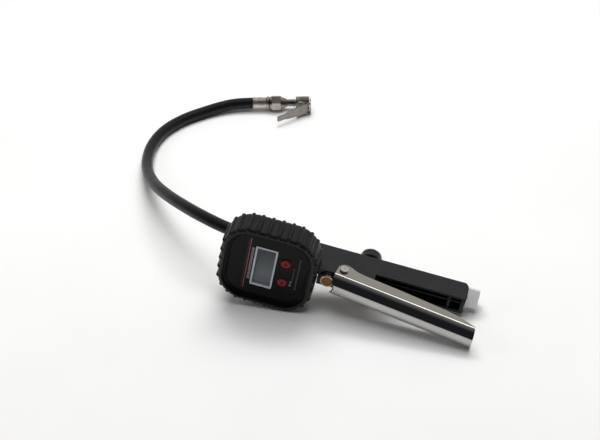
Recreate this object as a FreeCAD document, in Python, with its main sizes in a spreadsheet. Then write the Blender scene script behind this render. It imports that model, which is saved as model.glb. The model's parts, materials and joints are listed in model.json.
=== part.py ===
import FreeCAD, Part
import math
import os
import Sketcher
from FreeCAD import Placement, Rotation
from FreeCAD import Vector as V

# Hand-held digital tyre inflator: gauge head in a ribbed boot, straight cast handle with an
# air valve, channel-section squeeze lever, brass bleed button, and a rubber hose that ends in a
# clip-on chuck.
#
# The tool's own frame (before it is laid down): X runs along the handle towards the air inlet,
# the gauge face looks towards -Y, Z is across the handle. The centre of the boot's front rim is
# at 0, 0, 0 and the air passage runs along X at y = air_y. The whole tool is then tipped about Y
# by rest_tilt and lifted, so that it lies on the boot's side and the lever's end, with the floor
# at z = 0. The hose and the chuck lie on that floor.

doc = FreeCAD.newDocument("tyre_inflator")
sheet = doc.addObject("Spreadsheet::Sheet", "Sizes")

SIZES = [
    # where the tool lies
    ("rest_tilt", 10.467, "tip of the handle axis below the horizontal, degrees"),
    ("origin_x", -73.233, "tool frame to part frame"),
    ("origin_y", -20.471, "tool frame to part frame"),
    ("origin_z", 47.071, "gauge centre above the floor"),
    # handle casting
    ("air_y", 41.0, "air passage axis"),
    ("hand_half", 9.25, "half width of the handle"),
    ("hand_front", 25.8, "front of the handle"),
    ("hand_back", 49.4, "back of the handle"),
    ("hand_start", 12.0, "outlet end"),
    ("hand_end", 182.0, "inlet end"),
    ("block_start", 45.9, "pivot block, gauge side"),
    ("block_end", 97.0, "pivot block, inlet side"),
    ("block_front", 13.2, "front of the pivot block"),
    ("recess_start", 99.5, "open recess of the grip"),
    ("recess_end", 178.6, ""),
    ("recess_floor", 35.2, "floor of the recess"),
    ("recess_half", 7.1, "half width of the recess"),
    ("rib_thick", 1.6, "long rib in the recess"),
    ("rib_front", 29.5, "front edge of the long rib"),
    ("cross_rib_at", 166.4, "cross rib"),
    ("cross_rib_thick", 2.4, ""),
    ("cross_rib_front", 27.0, ""),
    ("air_bore", 3.2, "radius of the air passage"),
    # squeeze lever
    ("pivot_x", 68.3, "lever pivot"),
    ("pivot_y", 17.0, "lever pivot"),
    ("lever_angle", 9.0, "lever opening angle, degrees"),
    ("lever_half", 11.5, "half width outside"),
    ("lever_sheet", 1.3, "sheet thickness"),
    ("lever_depth", 16.57, "pivot to the outside of the channel's bottom"),
    ("lever_corner", 11.0, "outer corner radius"),
    ("lever_length", 131.1, "pivot to the free end"),
    ("lever_tail", 6.0, "pivot to the near end"),
    ("pin_radius", 2.5, "pivot pin"),
    ("pin_bore", 2.56, "running fit on the pivot pin"),
    ("pin_head", 4.1, "pivot pin head radius"),
    # inflate valve
    ("valve_x", 88.6, "axis of the inflate valve"),
    ("push_radius", 2.5, "push pin"),
    ("push_tip", -0.9, "front end of the push pin"),
    ("guide_bore", 2.56, "running fit on the push pin"),
    ("guide_radius", 5.0, "guide bush"),
    ("valve_bore", 6.5, "valve chamber radius"),
    ("seat_front", 35.5, "front of the valve seat"),
    ("seat_back", 37.6, "back of the valve seat"),
    ("cap_radius", 10.0, "rear cap"),
    ("cap_top", 60.8, "top of the rear cap"),
    # bleed valve
    ("bleed_x", 55.6, "axis of the bleed button"),
    ("bleed_face", 8.9, "front of the bleed button"),
    ("bleed_radius", 6.9, "bleed button"),
    ("bleed_stem", 2.0, "stem of the bleed button"),
    ("collar_radius", 8.1, "bush round the bleed button"),
    ("collar_front", 10.7, "front of the bush"),
    # inlet
    ("inlet_flats", 17.0, "across flats of the inlet"),
    ("inlet_end", 193.7, "end of the inlet"),
    ("inlet_thread", 5.72, "radius of the female thread's crests"),
    ("inlet_depth", 11.0, "depth of the female thread"),
    ("gasket_thick", 0.7, ""),
    # hose tail at the handle
    ("tail_flats", 15.0, "across flats of the hose tail"),
    ("tail_end", 5.0, "hose side of the hexagon"),
    ("gun_ferrule_end", -13.0, "where the hose comes out"),
    ("gun_ferrule_radius", 7.4, ""),
    ("hose_radius", 6.0, "hose, outside"),
    # gauge head outlines: half sizes and corner radii
    ("boot_half_x", 43.9, "boot between its ribs"),
    ("boot_half_z", 42.8, ""),
    ("boot_corner", 26.5, ""),
    ("boot_back", 26.4, "back of the boot"),
    ("lip_half_x", 39.5, "opening in the boot's front"),
    ("lip_half_z", 38.5, ""),
    ("lip_corner", 22.2, ""),
    ("lip_thick", 2.2, ""),
    ("case_half_x", 41.0, "gauge case"),
    ("case_half_z", 39.9, ""),
    ("case_corner", 23.6, ""),
    ("case_wall", 2.1, "gauge case wall"),
    ("case_front", 2.4, "front of the bezel"),
    ("case_split", 13.5, "joint between the case halves"),
    ("case_back", 24.4, "back of the case"),
    ("face_half_x", 35.6, "face overlay"),
    ("face_half_z", 35.2, ""),
    ("face_corner", 18.6, ""),
    ("face_front", 4.5, "front of the face overlay"),
    ("face_thick", 0.5, ""),
    ("plate_thick", 1.8, "front plate of the case"),
    ("rib_radius", 1.5, "ribs of the boot"),
    # display
    ("lcd_x", -3.0, "display centre"),
    ("lcd_half_x", 10.3, "display frame, outside"),
    ("lcd_half_z", 23.2, ""),
    ("lcd_rim", 1.6, "width of the display frame"),
    # buttons
    ("button_x", 16.2, "button centres"),
    ("button_z", 11.4, ""),
    ("button_radius", 4.8, "button cap"),
    ("button_front", 2.7, "front of the button caps"),
    ("ring_radius", 6.25, "ring round a button"),
    # inside the gauge head
    ("board_front", 11.4, "circuit board"),
    ("board_thick", 1.6, ""),
    ("stem_x", 22.0, "air stem of the gauge head"),
    ("cell_z", 23.4, "coin cell centre"),
    ("cell_radius", 12.25, ""),
    ("cell_thick", 5.0, ""),
    ("screw_x", 28.0, "case screws"),
    ("screw_z", 27.0, ""),
    # chuck: X along its own axis from the hose end, Z up
    ("chuck_x", -90.2, "hose end in the chuck, from the gauge centre"),
    ("chuck_y", 314.3, ""),
    ("chuck_z", 8.7, "chuck axis above the floor"),
    ("chuck_turn", 12.28, "direction of the chuck, degrees"),
    ("ferrule_radius", 6.6, ""),
    ("ferrule_length", 14.4, ""),
    ("collar_end", 20.0, "end of the flared collar"),
    ("nut_end", 31.0, "end of the swivel nut"),
    ("nut_flats", 15.0, ""),
    ("head_start", 46.6, "chuck head"),
    ("head_end", 61.4, ""),
    ("head_radius", 6.9, ""),
    ("mouth_radius", 4.1, "bore that takes the tyre valve"),
    ("mouth_floor", 51.8, ""),
    ("clip_x", 51.4, "thumb lever pivot"),
    ("clip_y", -9.3, ""),
    ("clip_pin", 1.5, "thumb lever pin"),
    ("clip_angle", 32.5, "thumb lever angle, degrees"),
]
CELLS = {}


class Size:
    """A number together with the sheet expression that gives it."""

    def __init__(self, value, text):
        self.value = float(value)
        self.text = text

    def _join(self, other, op, value, swap=False):
        a = self.text
        b = other.text if isinstance(other, Size) else repr(float(other))
        if swap:
            a, b = b, a
        return Size(value, "(%s %s %s)" % (a, op, b))

    def __add__(self, o):
        return self._join(o, "+", self.value + num(o))

    def __radd__(self, o):
        return self._join(o, "+", self.value + num(o), True)

    def __sub__(self, o):
        return self._join(o, "-", self.value - num(o))

    def __rsub__(self, o):
        return self._join(o, "-", num(o) - self.value, True)

    def __mul__(self, o):
        return self._join(o, "*", self.value * num(o))

    def __rmul__(self, o):
        return self._join(o, "*", self.value * num(o), True)

    def __truediv__(self, o):
        return self._join(o, "/", self.value / num(o))

    def __neg__(self):
        return Size(-self.value, "(0 - %s)" % self.text)


def num(q):
    return q.value if isinstance(q, Size) else float(q)


for row, (alias, value, note) in enumerate(SIZES, start=1):
    sheet.set("A%d" % row, alias)
    sheet.set("B%d" % row, repr(value))
    sheet.setAlias("B%d" % row, alias)
    if note:
        sheet.set("C%d" % row, note)
    CELLS[alias] = Size(value, "Sizes." + alias)
doc.recompute()


def s(alias):
    return CELLS[alias]


def bind(obj, prop, q):
    """Set a property, bound to the sheet when q comes from it."""
    if isinstance(q, Size):
        obj.setExpression(prop, q.text)


TURN = {
    "x": Rotation(V(0, 1, 0), 90),
    "y": Rotation(V(1, 0, 0), -90),
    "z": Rotation(),
}


def put(obj, at, axis="z"):
    obj.Placement = Placement(V(*[num(c) for c in at]), TURN[axis])
    for letter, c in zip("xyz", at):
        bind(obj, "Placement.Base." + letter, c)


def cylinder(name, r, length, at, axis):
    o = doc.addObject("Part::Cylinder", name)
    o.Radius, o.Height = num(r), num(length)
    bind(o, "Radius", r)
    bind(o, "Height", length)
    put(o, at, axis)
    return o


def block(name, lo, hi):
    o = doc.addObject("Part::Box", name)
    for prop, a, b in zip(("Length", "Width", "Height"), lo, hi):
        d = b - a
        setattr(o, prop, num(d))
        bind(o, prop, d)
    put(o, lo)
    return o


def hexagon(name, flats, length, at, axis):
    o = doc.addObject("Part::Prism", name)
    o.Polygon = 6
    r = flats / math.sqrt(3.0)
    o.Circumradius, o.Height = num(r), num(length)
    bind(o, "Circumradius", r)
    bind(o, "Height", length)
    put(o, at, axis)
    return o


def join(name, items):
    o = doc.addObject("Part::MultiFuse", name)
    o.Shapes = items
    o.Refine = True
    return o


def remove(name, base, tools):
    o = doc.addObject("Part::Cut", name)
    o.Base = base
    o.Tool = tools[0] if len(tools) == 1 else join(name + "_tools", tools)
    o.Refine = True
    return o


def common(name, a, b):
    o = doc.addObject("Part::Common", name)
    o.Base, o.Tool = a, b
    return o


def group(name, items):
    o = doc.addObject("Part::Compound", name)
    o.Links = items
    return o


def sketch(body, name, plane, offset):
    sk = body.newObject("Sketcher::SketchObject", name)
    origin = [f for f in body.Origin.OriginFeatures if f.Role == plane + "_Plane"][0]
    sk.AttachmentSupport = (origin, [""])
    sk.MapMode = "FlatFace"
    sk.AttachmentOffset = Placement(V(*[num(c) for c in offset]), Rotation())
    for letter, c in zip("xyz", offset):
        bind(sk, "AttachmentOffset.Base." + letter, c)
    return sk


def pin_point(sk, geo, pos, x, y):
    """Tie a sketch point to its two coordinates."""
    for kind, c, axis in (("DistanceX", x, -2), ("DistanceY", y, -1)):
        if abs(num(c)) < 1e-9:
            sk.addConstraint(Sketcher.Constraint("PointOnObject", geo, pos, axis))
        else:
            k = sk.addConstraint(Sketcher.Constraint(kind, -1, 1, geo, pos, num(c)))
            if isinstance(c, Size):
                sk.setExpression("Constraints[%d]" % k, c.text)


def polygon(sk, pts):
    base = sk.GeometryCount
    n = len(pts)
    for i in range(n):
        a, b = pts[i], pts[(i + 1) % n]
        sk.addGeometry(
            Part.LineSegment(V(num(a[0]), num(a[1]), 0), V(num(b[0]), num(b[1]), 0)), False
        )
    for i in range(n):
        sk.addConstraint(
            Sketcher.Constraint("Coincident", base + i, 2, base + (i + 1) % n, 1)
        )
    for i in range(n):
        pin_point(sk, base + i, 1, pts[i][0], pts[i][1])


def round_rect(sk, hx, hy, r, cx=0.0, cy=0.0):
    """Rounded rectangle: four sides and four tangent corner arcs."""
    x, y, q, mx, my = num(hx), num(hy), num(r), num(cx), num(cy)
    base = sk.GeometryCount
    sides = [
        ((mx - x + q, my - y), (mx + x - q, my - y), (cx - hx + r, cy - hy), (cx + hx - r, cy - hy)),
        ((mx + x, my - y + q), (mx + x, my + y - q), (cx + hx, cy - hy + r), (cx + hx, cy + hy - r)),
        ((mx + x - q, my + y), (mx - x + q, my + y), (cx + hx - r, cy + hy), (cx - hx + r, cy + hy)),
        ((mx - x, my + y - q), (mx - x, my - y + q), (cx - hx, cy + hy - r), (cx - hx, cy - hy + r)),
    ]
    for a, b, _, _ in sides:
        sk.addGeometry(Part.LineSegment(V(a[0], a[1], 0), V(b[0], b[1], 0)), False)
    centres = [(mx + x - q, my - y + q, -90), (mx + x - q, my + y - q, 0),
               (mx - x + q, my + y - q, 90), (mx - x + q, my - y + q, 180)]
    for px, py, start in centres:
        a0 = math.radians(start)
        sk.addGeometry(
            Part.ArcOfCircle(Part.Circle(V(px, py, 0), V(0, 0, 1), q), a0, a0 + math.pi / 2), False
        )
    for i in range(4):
        _, _, ea, eb = sides[i]
        pin_point(sk, base + i, 1, ea[0], ea[1])
        pin_point(sk, base + i, 2, eb[0], eb[1])
    for i in range(4):
        sk.addConstraint(Sketcher.Constraint("Coincident", base + i, 2, base + 4 + i, 1))
        sk.addConstraint(Sketcher.Constraint("Coincident", base + 4 + i, 2, base + (i + 1) % 4, 1))
        k = sk.addConstraint(Sketcher.Constraint("Radius", base + 4 + i, q))
        sk.setExpression("Constraints[%d]" % k, r.text if isinstance(r, Size) else repr(float(r)))


def turned(name, axis, at, profile):
    """A turned piece: profile is (distance along the axis, radius)."""
    body = doc.addObject("PartDesign::Body", name)
    if axis == "x":
        sk = sketch(body, name + "_profile", "XY", (0.0, at[0], at[1]))
        polygon(sk, profile)
        ref = "H_Axis"
    elif axis == "y":
        sk = sketch(body, name + "_profile", "XY", (at[0], 0.0, at[1]))
        polygon(sk, [(r, a) for a, r in profile])
        ref = "V_Axis"
    else:
        sk = sketch(body, name + "_profile", "XZ", (at[0], 0.0, -at[1]))
        polygon(sk, [(r, a) for a, r in profile])
        ref = "V_Axis"
    rev = body.newObject("PartDesign::Revolution", name + "_turned")
    rev.Profile = sk
    rev.ReferenceAxis = (sk, [ref])
    rev.Angle = 360.0
    sk.Visibility = False
    return body


def pad(body, name, sk, length, back=False, both=False):
    o = body.newObject("PartDesign::Pad", name)
    o.Profile = sk
    o.Length = num(length)
    bind(o, "Length", length)
    if both:
        o.SideType = "Symmetric"
    o.Reversed = back
    return o


def pocket(body, name, sk, length, back=False, both=False):
    o = body.newObject("PartDesign::Pocket", name)
    o.Profile = sk
    o.Length = num(length)
    bind(o, "Length", length)
    if both:
        o.SideType = "Symmetric"
    o.Reversed = back
    return o


def plate(name, y0, y1, draw):
    """A PartDesign plate across Y, from y0 to y1, with the outline that draw makes."""
    body = doc.addObject("PartDesign::Body", name)
    sk = sketch(body, name + "_outline", "XZ", (0.0, 0.0, -y0))
    draw(sk)
    pad(body, name + "_pad", sk, y1 - y0, back=True)
    return body


def dig(body, name, y0, depth, draw):
    """Pocket from the plane y0 towards +Y."""
    sk = sketch(body, name + "_outline", "XZ", (0.0, 0.0, -y0))
    draw(sk)
    return pocket(body, name, sk, depth)


def spring(name, axis, at, start, end, radius, wire, turns):
    """Helical compression spring of round wire."""
    hx = doc.addObject("Part::Helix", name + "_line")
    length = end - start - wire * 2.0
    hx.Pitch = num(length) / turns
    hx.Height = num(length)
    hx.Radius = num(radius)
    bind(hx, "Height", length)
    bind(hx, "Pitch", length / turns if isinstance(length, Size) else length / turns)
    bind(hx, "Radius", radius)
    ci = doc.addObject("Part::Circle", name + "_wire")
    ci.Radius = num(wire)
    ci.Placement = Placement(V(num(radius), 0, 0), Rotation(V(1, 0, 0), 90))
    sw = doc.addObject("Part::Sweep", name + "_coil")
    sw.Sections = [ci]
    sw.Spine = (hx, ["Edge1"])
    sw.Solid = True
    sw.Frenet = True
    off = start + wire
    spots = {"x": (off, at[0], at[1]), "y": (at[0], off, at[1]), "z": (at[0], at[1], off)}
    put(sw, spots[axis], axis)
    return sw


NODES = []


def frame_tool():
    return (Placement(V(num(s("origin_x")), num(s("origin_y")), num(s("origin_z"))),
                      Rotation(V(0, 1, 0), num(s("rest_tilt")))))


def frame_chuck():
    return Placement(
        V(num(s("chuck_x") + s("origin_x")), num(s("chuck_y") + s("origin_y")), num(s("chuck_z"))),
        Rotation(V(0, 0, 1), num(s("chuck_turn"))))


def node(label, obj, where="tool"):
    """Register a finished sub-part, in the tool's or the chuck's frame."""
    if obj.TypeId in ("Part::Box", "Part::Sweep"):
        # grouped, so that the piece's own placement stays as it is
        obj = group(label + "_piece", [obj])
    obj.Label = label
    if where == "tool":
        obj.Placement = frame_tool().multiply(obj.Placement)
        for letter in "xyz":
            bind(obj, "Placement.Base." + letter, s("origin_" + letter))
        obj.setExpression("Placement.Rotation.Angle", "Sizes.rest_tilt")
    elif where == "chuck":
        obj.Placement = frame_chuck().multiply(obj.Placement)
        bind(obj, "Placement.Base.x", s("chuck_x") + s("origin_x"))
        bind(obj, "Placement.Base.y", s("chuck_y") + s("origin_y"))
        bind(obj, "Placement.Base.z", s("chuck_z"))
        obj.setExpression("Placement.Rotation.Angle", "Sizes.chuck_turn")
    NODES.append((label, obj))
    return obj


def edges_where(shape, test):
    return ["Edge%d" % (i + 1) for i, e in enumerate(shape.Edges) if test(e)]


ay = s("air_y")
hw = s("hand_half")

# ---------------------------------------------------------------- handle casting
cast = doc.addObject("PartDesign::Body", "casting_body")
sk = sketch(cast, "casting_side", "XY", (0.0, 0.0, 0.0))
polygon(sk, [
    (s("hand_start"), s("hand_front") + 6.0),
    (s("hand_start") + 2.0, s("hand_front")),
    (s("block_start"), s("hand_front")),
    (s("block_start"), s("block_front")),
    (s("block_end") - 3.0, s("block_front")),
    (s("block_end"), s("block_front") + 4.0),
    (s("block_end"), s("hand_front")),
    (s("hand_end"), s("hand_front")),
    (s("hand_end"), s("hand_back") - 5.2),
    (s("hand_end") - 3.6, s("hand_back")),
    (s("hand_start"), s("hand_back")),
])
first = pad(cast, "casting_pad", sk, hw * 2.0, both=True)
doc.recompute()
long_back = edges_where(first.Shape, lambda e: abs(e.BoundBox.YMin - num(s("hand_back"))) < 1e-4
                        and abs(e.BoundBox.YMax - num(s("hand_back"))) < 1e-4
                        and e.BoundBox.XLength > 50)
fil = cast.newObject("PartDesign::Fillet", "casting_back_round")
fil.Base = (first, long_back)
fil.Radius = 2.6
doc.recompute()
dig(cast, "casting_recess", s("hand_front"), s("recess_floor") - s("hand_front"),
    lambda k: polygon(k, [(s("recess_start"), -s("recess_half")), (s("recess_end"), -s("recess_half")),
                          (s("recess_end"), s("recess_half")), (s("recess_start"), s("recess_half"))]))
# the ribs reach 0.6 mm into the recess floor
sk = sketch(cast, "casting_long_rib_side", "XY", (0.0, 0.0, 0.0))
polygon(sk, [(s("recess_start") - 0.5, s("rib_front")), (s("recess_end") + 0.5, s("rib_front")),
             (s("recess_end") + 0.5, s("recess_floor") + 0.6), (s("recess_start") - 0.5, s("recess_floor") + 0.6)])
pad(cast, "casting_long_rib", sk, s("rib_thick"), both=True)
sk = sketch(cast, "casting_cross_rib_side", "XY", (0.0, 0.0, 0.0))
polygon(sk, [(s("cross_rib_at"), s("cross_rib_front")),
             (s("cross_rib_at") + s("cross_rib_thick"), s("cross_rib_front")),
             (s("cross_rib_at") + s("cross_rib_thick"), s("recess_floor") + 0.6),
             (s("cross_rib_at"), s("recess_floor") + 0.6)])
pad(cast, "casting_cross_rib", sk, s("recess_half") * 2.0 + 0.4, both=True)

slant = doc.addObject("Part::Cylinder", "bore_slant")
slant.Radius = 2.6
slant.Height = 50.0
slant.Placement = Placement(V(num(s("valve_x")), 32.6, 0), Rotation(V(0, 0, 1), 0))
slant_dir = V(38.0 - num(s("valve_x")), num(ay) - 32.6, 0)
slant.Placement = Placement(V(num(s("valve_x")), 32.6, 0), Rotation(V(0, 0, 1), slant_dir))
slant.Height = slant_dir.Length
casting = remove("handle_casting_cut", cast, [
    cylinder("bore_out", s("air_bore"), 34.0, (s("hand_start") - 1.0, ay, 0.0), "x"),
    slant,
    cylinder("bore_in", s("air_bore"), s("hand_end") - s("valve_x") + 1.0, (s("valve_x"), ay, 0.0), "x"),
    cylinder("bore_inlet", 6.5, 13.5, (s("hand_end") - 12.5, ay, 0.0), "x"),
    cylinder("bore_outlet", 5.0, 11.0, (s("hand_start") - 1.0, ay, 0.0), "x"),
    cylinder("bore_chamber", s("valve_bore"), s("hand_back") - s("seat_front") + 1.0,
             (s("valve_x"), s("seat_front"), 0.0), "y"),
    cylinder("bore_chamber_front", 3.6, s("seat_front") - 23.0, (s("valve_x"), 24.0, 0.0), "y"),
    cylinder("bore_guide", s("guide_radius"), 24.0 - s("block_front") + 1.0,
             (s("valve_x"), s("block_front") - 1.0, 0.0), "y"),
    cylinder("bore_cap_seal", 8.2, 3.0, (s("valve_x"), s("hand_back") - 1.8, 0.0), "y"),
    cylinder("bore_pivot", s("pin_radius") + 0.02, 20.0, (s("pivot_x"), s("pivot_y"), -10.0), "z"),
    cylinder("bore_bleed_flange", s("collar_radius") + 0.05, 2.3,
             (s("bleed_x"), s("block_front") - 1.0, 0.0), "y"),
    cylinder("bore_bleed", 4.85, 12.0, (s("bleed_x"), s("block_front"), 0.0), "y"),
    cylinder("bore_bleed_deep", 1.2, 16.0, (s("bleed_x"), 24.0, 0.0), "y"),
    cylinder("bore_stem", 5.0, 9.2, (s("stem_x"), s("hand_front") - 1.0, 0.0), "y"),
    cylinder("bore_stem_deep", 1.4, 8.0, (s("stem_x"), 33.0, 0.0), "y"),
])
node("handle_casting", casting)

# ---------------------------------------------------------------- inlet
hx0 = s("hand_end") + s("gasket_thick")
hexa = common("inlet_hex", hexagon("inlet_hex_bar", s("inlet_flats"), s("inlet_end") - hx0, (hx0, ay, 0.0), "x"),
              turned("inlet_hex_chamfer", "x", (ay, 0.0), [
                  (hx0, 0.0), (hx0, 8.9), (hx0 + 0.8, 9.9), (s("inlet_end") - 1.0, 9.9),
                  (s("inlet_end"), 8.6), (s("inlet_end"), 0.0)]))
shank = cylinder("inlet_shank", 6.45, s("gasket_thick") + 11.5, (s("hand_end") - 11.5, ay, 0.0), "x")
node("inlet_fitting", remove("inlet_fitting_cut", join("inlet_fitting_solid", [hexa, shank]), [
    cylinder("inlet_thread_bore", s("inlet_thread"), s("inlet_depth") + 1.0,
             (s("inlet_end") - s("inlet_depth"), ay, 0.0), "x"),
    cylinder("inlet_air_bore", 3.0, 30.0, (s("hand_end") - 12.5, ay, 0.0), "x")]))
node("inlet_gasket", turned("inlet_gasket_body", "x", (ay, 0.0), [
    (s("hand_end"), 6.5), (hx0, 6.5), (hx0, 8.3), (s("hand_end"), 8.3)]))
node("inlet_strainer", turned("inlet_strainer_body", "x", (ay, 0.0), [
    (172.5, 0.0), (172.5, 2.6), (180.5, 2.97), (180.5, 2.2), (173.4, 1.9), (173.4, 0.0)]))

# ---------------------------------------------------------------- inflate valve
vx = s("valve_x")
node("valve_seat", turned("valve_seat_body", "y", (vx, 0.0), [
    (s("seat_front"), 2.6), (s("seat_front"), 6.45), (s("seat_back"), 6.45), (s("seat_back"), 3.6),
    (s("seat_back") + 0.5, 3.2), (s("seat_back") + 0.5, 2.6)]))
node("stem_guide", turned("stem_guide_body", "y", (vx, 0.0), [
    (s("block_front") - 1.6, s("guide_bore")), (s("block_front") - 1.6, 4.4), (s("block_front") - 1.0, 5.6),
    (s("block_front"), 5.6), (s("block_front"), 4.95), (24.0, 4.95), (24.0, s("guide_bore"))]))
node("push_pin", turned("push_pin_body", "y", (vx, 0.0), [
    (s("push_tip"), 0.0), (s("push_tip") + 0.3, 1.4), (s("push_tip") + 1.3, s("push_radius")),
    (26.4, s("push_radius")), (26.4, 1.7), (28.2, 1.7), (28.2, s("push_radius")), (30.0, s("push_radius")),
    (30.0, 0.0)]))
node("push_pin_oring", turned("push_pin_oring_body", "y", (vx, 0.0), [
    (26.6, 1.75), (26.6, 2.9), (26.9, 3.25), (27.7, 3.25), (28.0, 2.9), (28.0, 1.75)]))
node("valve_poppet", turned("valve_poppet_body", "y", (vx, 0.0), [
    (30.0, 0.0), (30.0, 1.6), (39.2, 1.6), (39.2, 4.4), (41.6, 4.4), (41.6, 2.6), (43.0, 2.2), (43.0, 0.0)]))
node("poppet_seal", turned("poppet_seal_body", "y", (vx, 0.0), [
    (s("seat_back") + 0.6, 1.65), (s("seat_back") + 0.6, 4.2), (39.15, 4.3), (39.15, 1.65)]))
node("valve_spring", spring("valve_spring", "y", (vx, 0.0), 41.7, 52.9, 3.5, 0.4, 6.0))
node("rear_valve_cap", turned("rear_valve_cap_body", "y", (vx, 0.0), [
    (45.2, 4.6), (45.2, 6.4), (s("hand_back") + 0.1, 6.4), (s("hand_back") + 0.1, 9.0),
    (s("hand_back") + 0.6, s("cap_radius")), (s("cap_top") - 3.2, s("cap_radius")),
    (s("cap_top") - 1.9, s("cap_radius") - 0.5), (s("cap_top") - 0.9, s("cap_radius") - 1.6),
    (s("cap_top") - 0.3, s("cap_radius") - 3.2), (s("cap_top"), s("cap_radius") - 5.6), (s("cap_top"), 0.0), (53.0, 0.0), (53.0, 4.6)]))
node("cap_oring", turned("cap_oring_body", "y", (vx, 0.0), [
    (47.7, 6.45), (47.7, 7.6), (48.0, 8.0), (49.0, 8.0), (49.3, 7.6), (49.3, 6.45)]))

# ---------------------------------------------------------------- squeeze lever
px, py = s("pivot_x"), s("pivot_y")
lh, lt, ld, lr = s("lever_half"), s("lever_sheet"), s("lever_depth"), s("lever_corner")
lev = doc.addObject("PartDesign::Body", "lever_body")
sk = sketch(lev, "lever_section", "YZ", (0.0, 0.0, -s("lever_tail")))
cy, cz = lr - ld, lh - lr
ri = lr - lt
top = 8.4
section = [
    ("line", (top, lh), (cy, lh)),
    ("arc", (cy, cz), lr, 90, 180),
    ("line", (-ld, cz), (-ld, -cz)),
    ("arc", (cy, -cz), lr, 180, 270),
    ("line", (cy, -lh), (top, -lh)),
    ("line", (top, -lh), (top, lt - lh)),
    ("line", (top, lt - lh), (cy, lt - lh)),
    ("arc", (cy, -cz), ri, 180, 270),
    ("line", (lt - ld, -cz), (lt - ld, cz)),
    ("arc", (cy, cz), ri, 90, 180),
    ("line", (cy, lh - lt), (top, lh - lt)),
    ("line", (top, lh - lt), (top, lh)),
]
for item in section:
    if item[0] == "line":
        a, b = item[1], item[2]
        g = sk.addGeometry(Part.LineSegment(V(num(a[0]), num(a[1]), 0), V(num(b[0]), num(b[1]), 0)), False)
        pin_point(sk, g, 1, a[0], a[1])
        pin_point(sk, g, 2, b[0], b[1])
    else:
        c, r, a0, a1 = item[1:]
        g = sk.addGeometry(Part.ArcOfCircle(Part.Circle(V(num(c[0]), num(c[1]), 0), V(0, 0, 1), num(r)),
                                            math.radians(a0), math.radians(a1)), False)
        pin_point(sk, g, 3, c[0], c[1])
        k = sk.addConstraint(Sketcher.Constraint("Radius", g, num(r)))
        sk.setExpression("Constraints[%d]" % k, r.text)
pad(lev, "lever_channel", sk, s("lever_length") + s("lever_tail"))
# side outline: the flanges are ear-high at the pivot and run out towards the free end
sk = sketch(lev, "lever_side", "XY", (0.0, 0.0, 0.0))
polygon(sk, [
    (-9.0, 10.0), (-9.0, 4.0), (-5.2, 4.0), (-4.2, 6.0), (-2.4, 7.3), (0.0, 7.9), (2.8, 7.8), (5.8, 6.9),
    (8.8, 5.6), (12.8, 4.3), (19.9, 3.6), (33.9, 3.2), (48.9, 2.9), (62.9, 2.4), (74.9, 1.75), (86.9, 1.2),
    (98.9, 0.6), (108.9, -0.65), (116.9, -2.45), (123.9, -4.55), (s("lever_length") + 1.0, -7.05),
    (s("lever_length") + 1.0, 10.0)])
pocket(lev, "lever_flange_cut", sk, 40.0, both=True)
sk = sketch(lev, "lever_end", "XY", (0.0, 0.0, 0.0))
polygon(sk, [(s("lever_length") - 0.1, -19.0), (s("lever_length") + 2.5, -19.0),
             (s("lever_length") + 2.5, 9.0), (s("lever_length") - 1.7, 9.0), (s("lever_length") - 1.7, -7.0),
             (s("lever_length") - 0.9, -11.0), (s("lever_length") - 0.1, -15.0)])
pocket(lev, "lever_end_cut", sk, 40.0, both=True)
lev.Placement = Placement(V(num(px), num(py), 0), Rotation(V(0, 0, 1), -num(s("lever_angle"))))
bind(lev, "Placement.Base.x", px)
bind(lev, "Placement.Base.y", py)
node("lever", remove("lever_cut", lev, [
    cylinder("lever_pivot_hole", s("pin_bore"), 30.0, (px, py, -15.0), "z"),
    cylinder("lever_button_notch", s("bleed_radius") + 0.8, 12.0, (s("bleed_x"), -6.0, 0.0), "y"),
]))
node("lever_pin", turned("lever_pin_body", "z", (px, py), [
    (-13.2, 0.0), (-13.2, 2.1), (-12.8, s("pin_radius")), (-12.4, s("pin_radius")), (-12.4, 1.9), (-11.9, 1.9),
    (-11.9, s("pin_radius")), (11.8, s("pin_radius")), (11.8, s("pin_head")), (12.9, s("pin_head")),
    (13.4, s("pin_head") - 0.5), (13.4, 1.4), (13.1, 1.1), (13.1, 0.0)]))
node("pin_retainer", turned("pin_retainer_body", "z", (px, py), [
    (-12.35, 1.95), (-12.35, 4.4), (-11.95, 4.4), (-11.95, 1.95)]))
node("pivot_washers", group("pivot_washers_pair", [
    turned("washer_upper", "z", (px, py), [(9.3, 2.56), (9.3, 5.0), (9.9, 5.0), (9.9, 2.56)]),
    turned("washer_lower", "z", (px, py), [(-9.9, 2.56), (-9.9, 5.0), (-9.3, 5.0), (-9.3, 2.56)])]))

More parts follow.
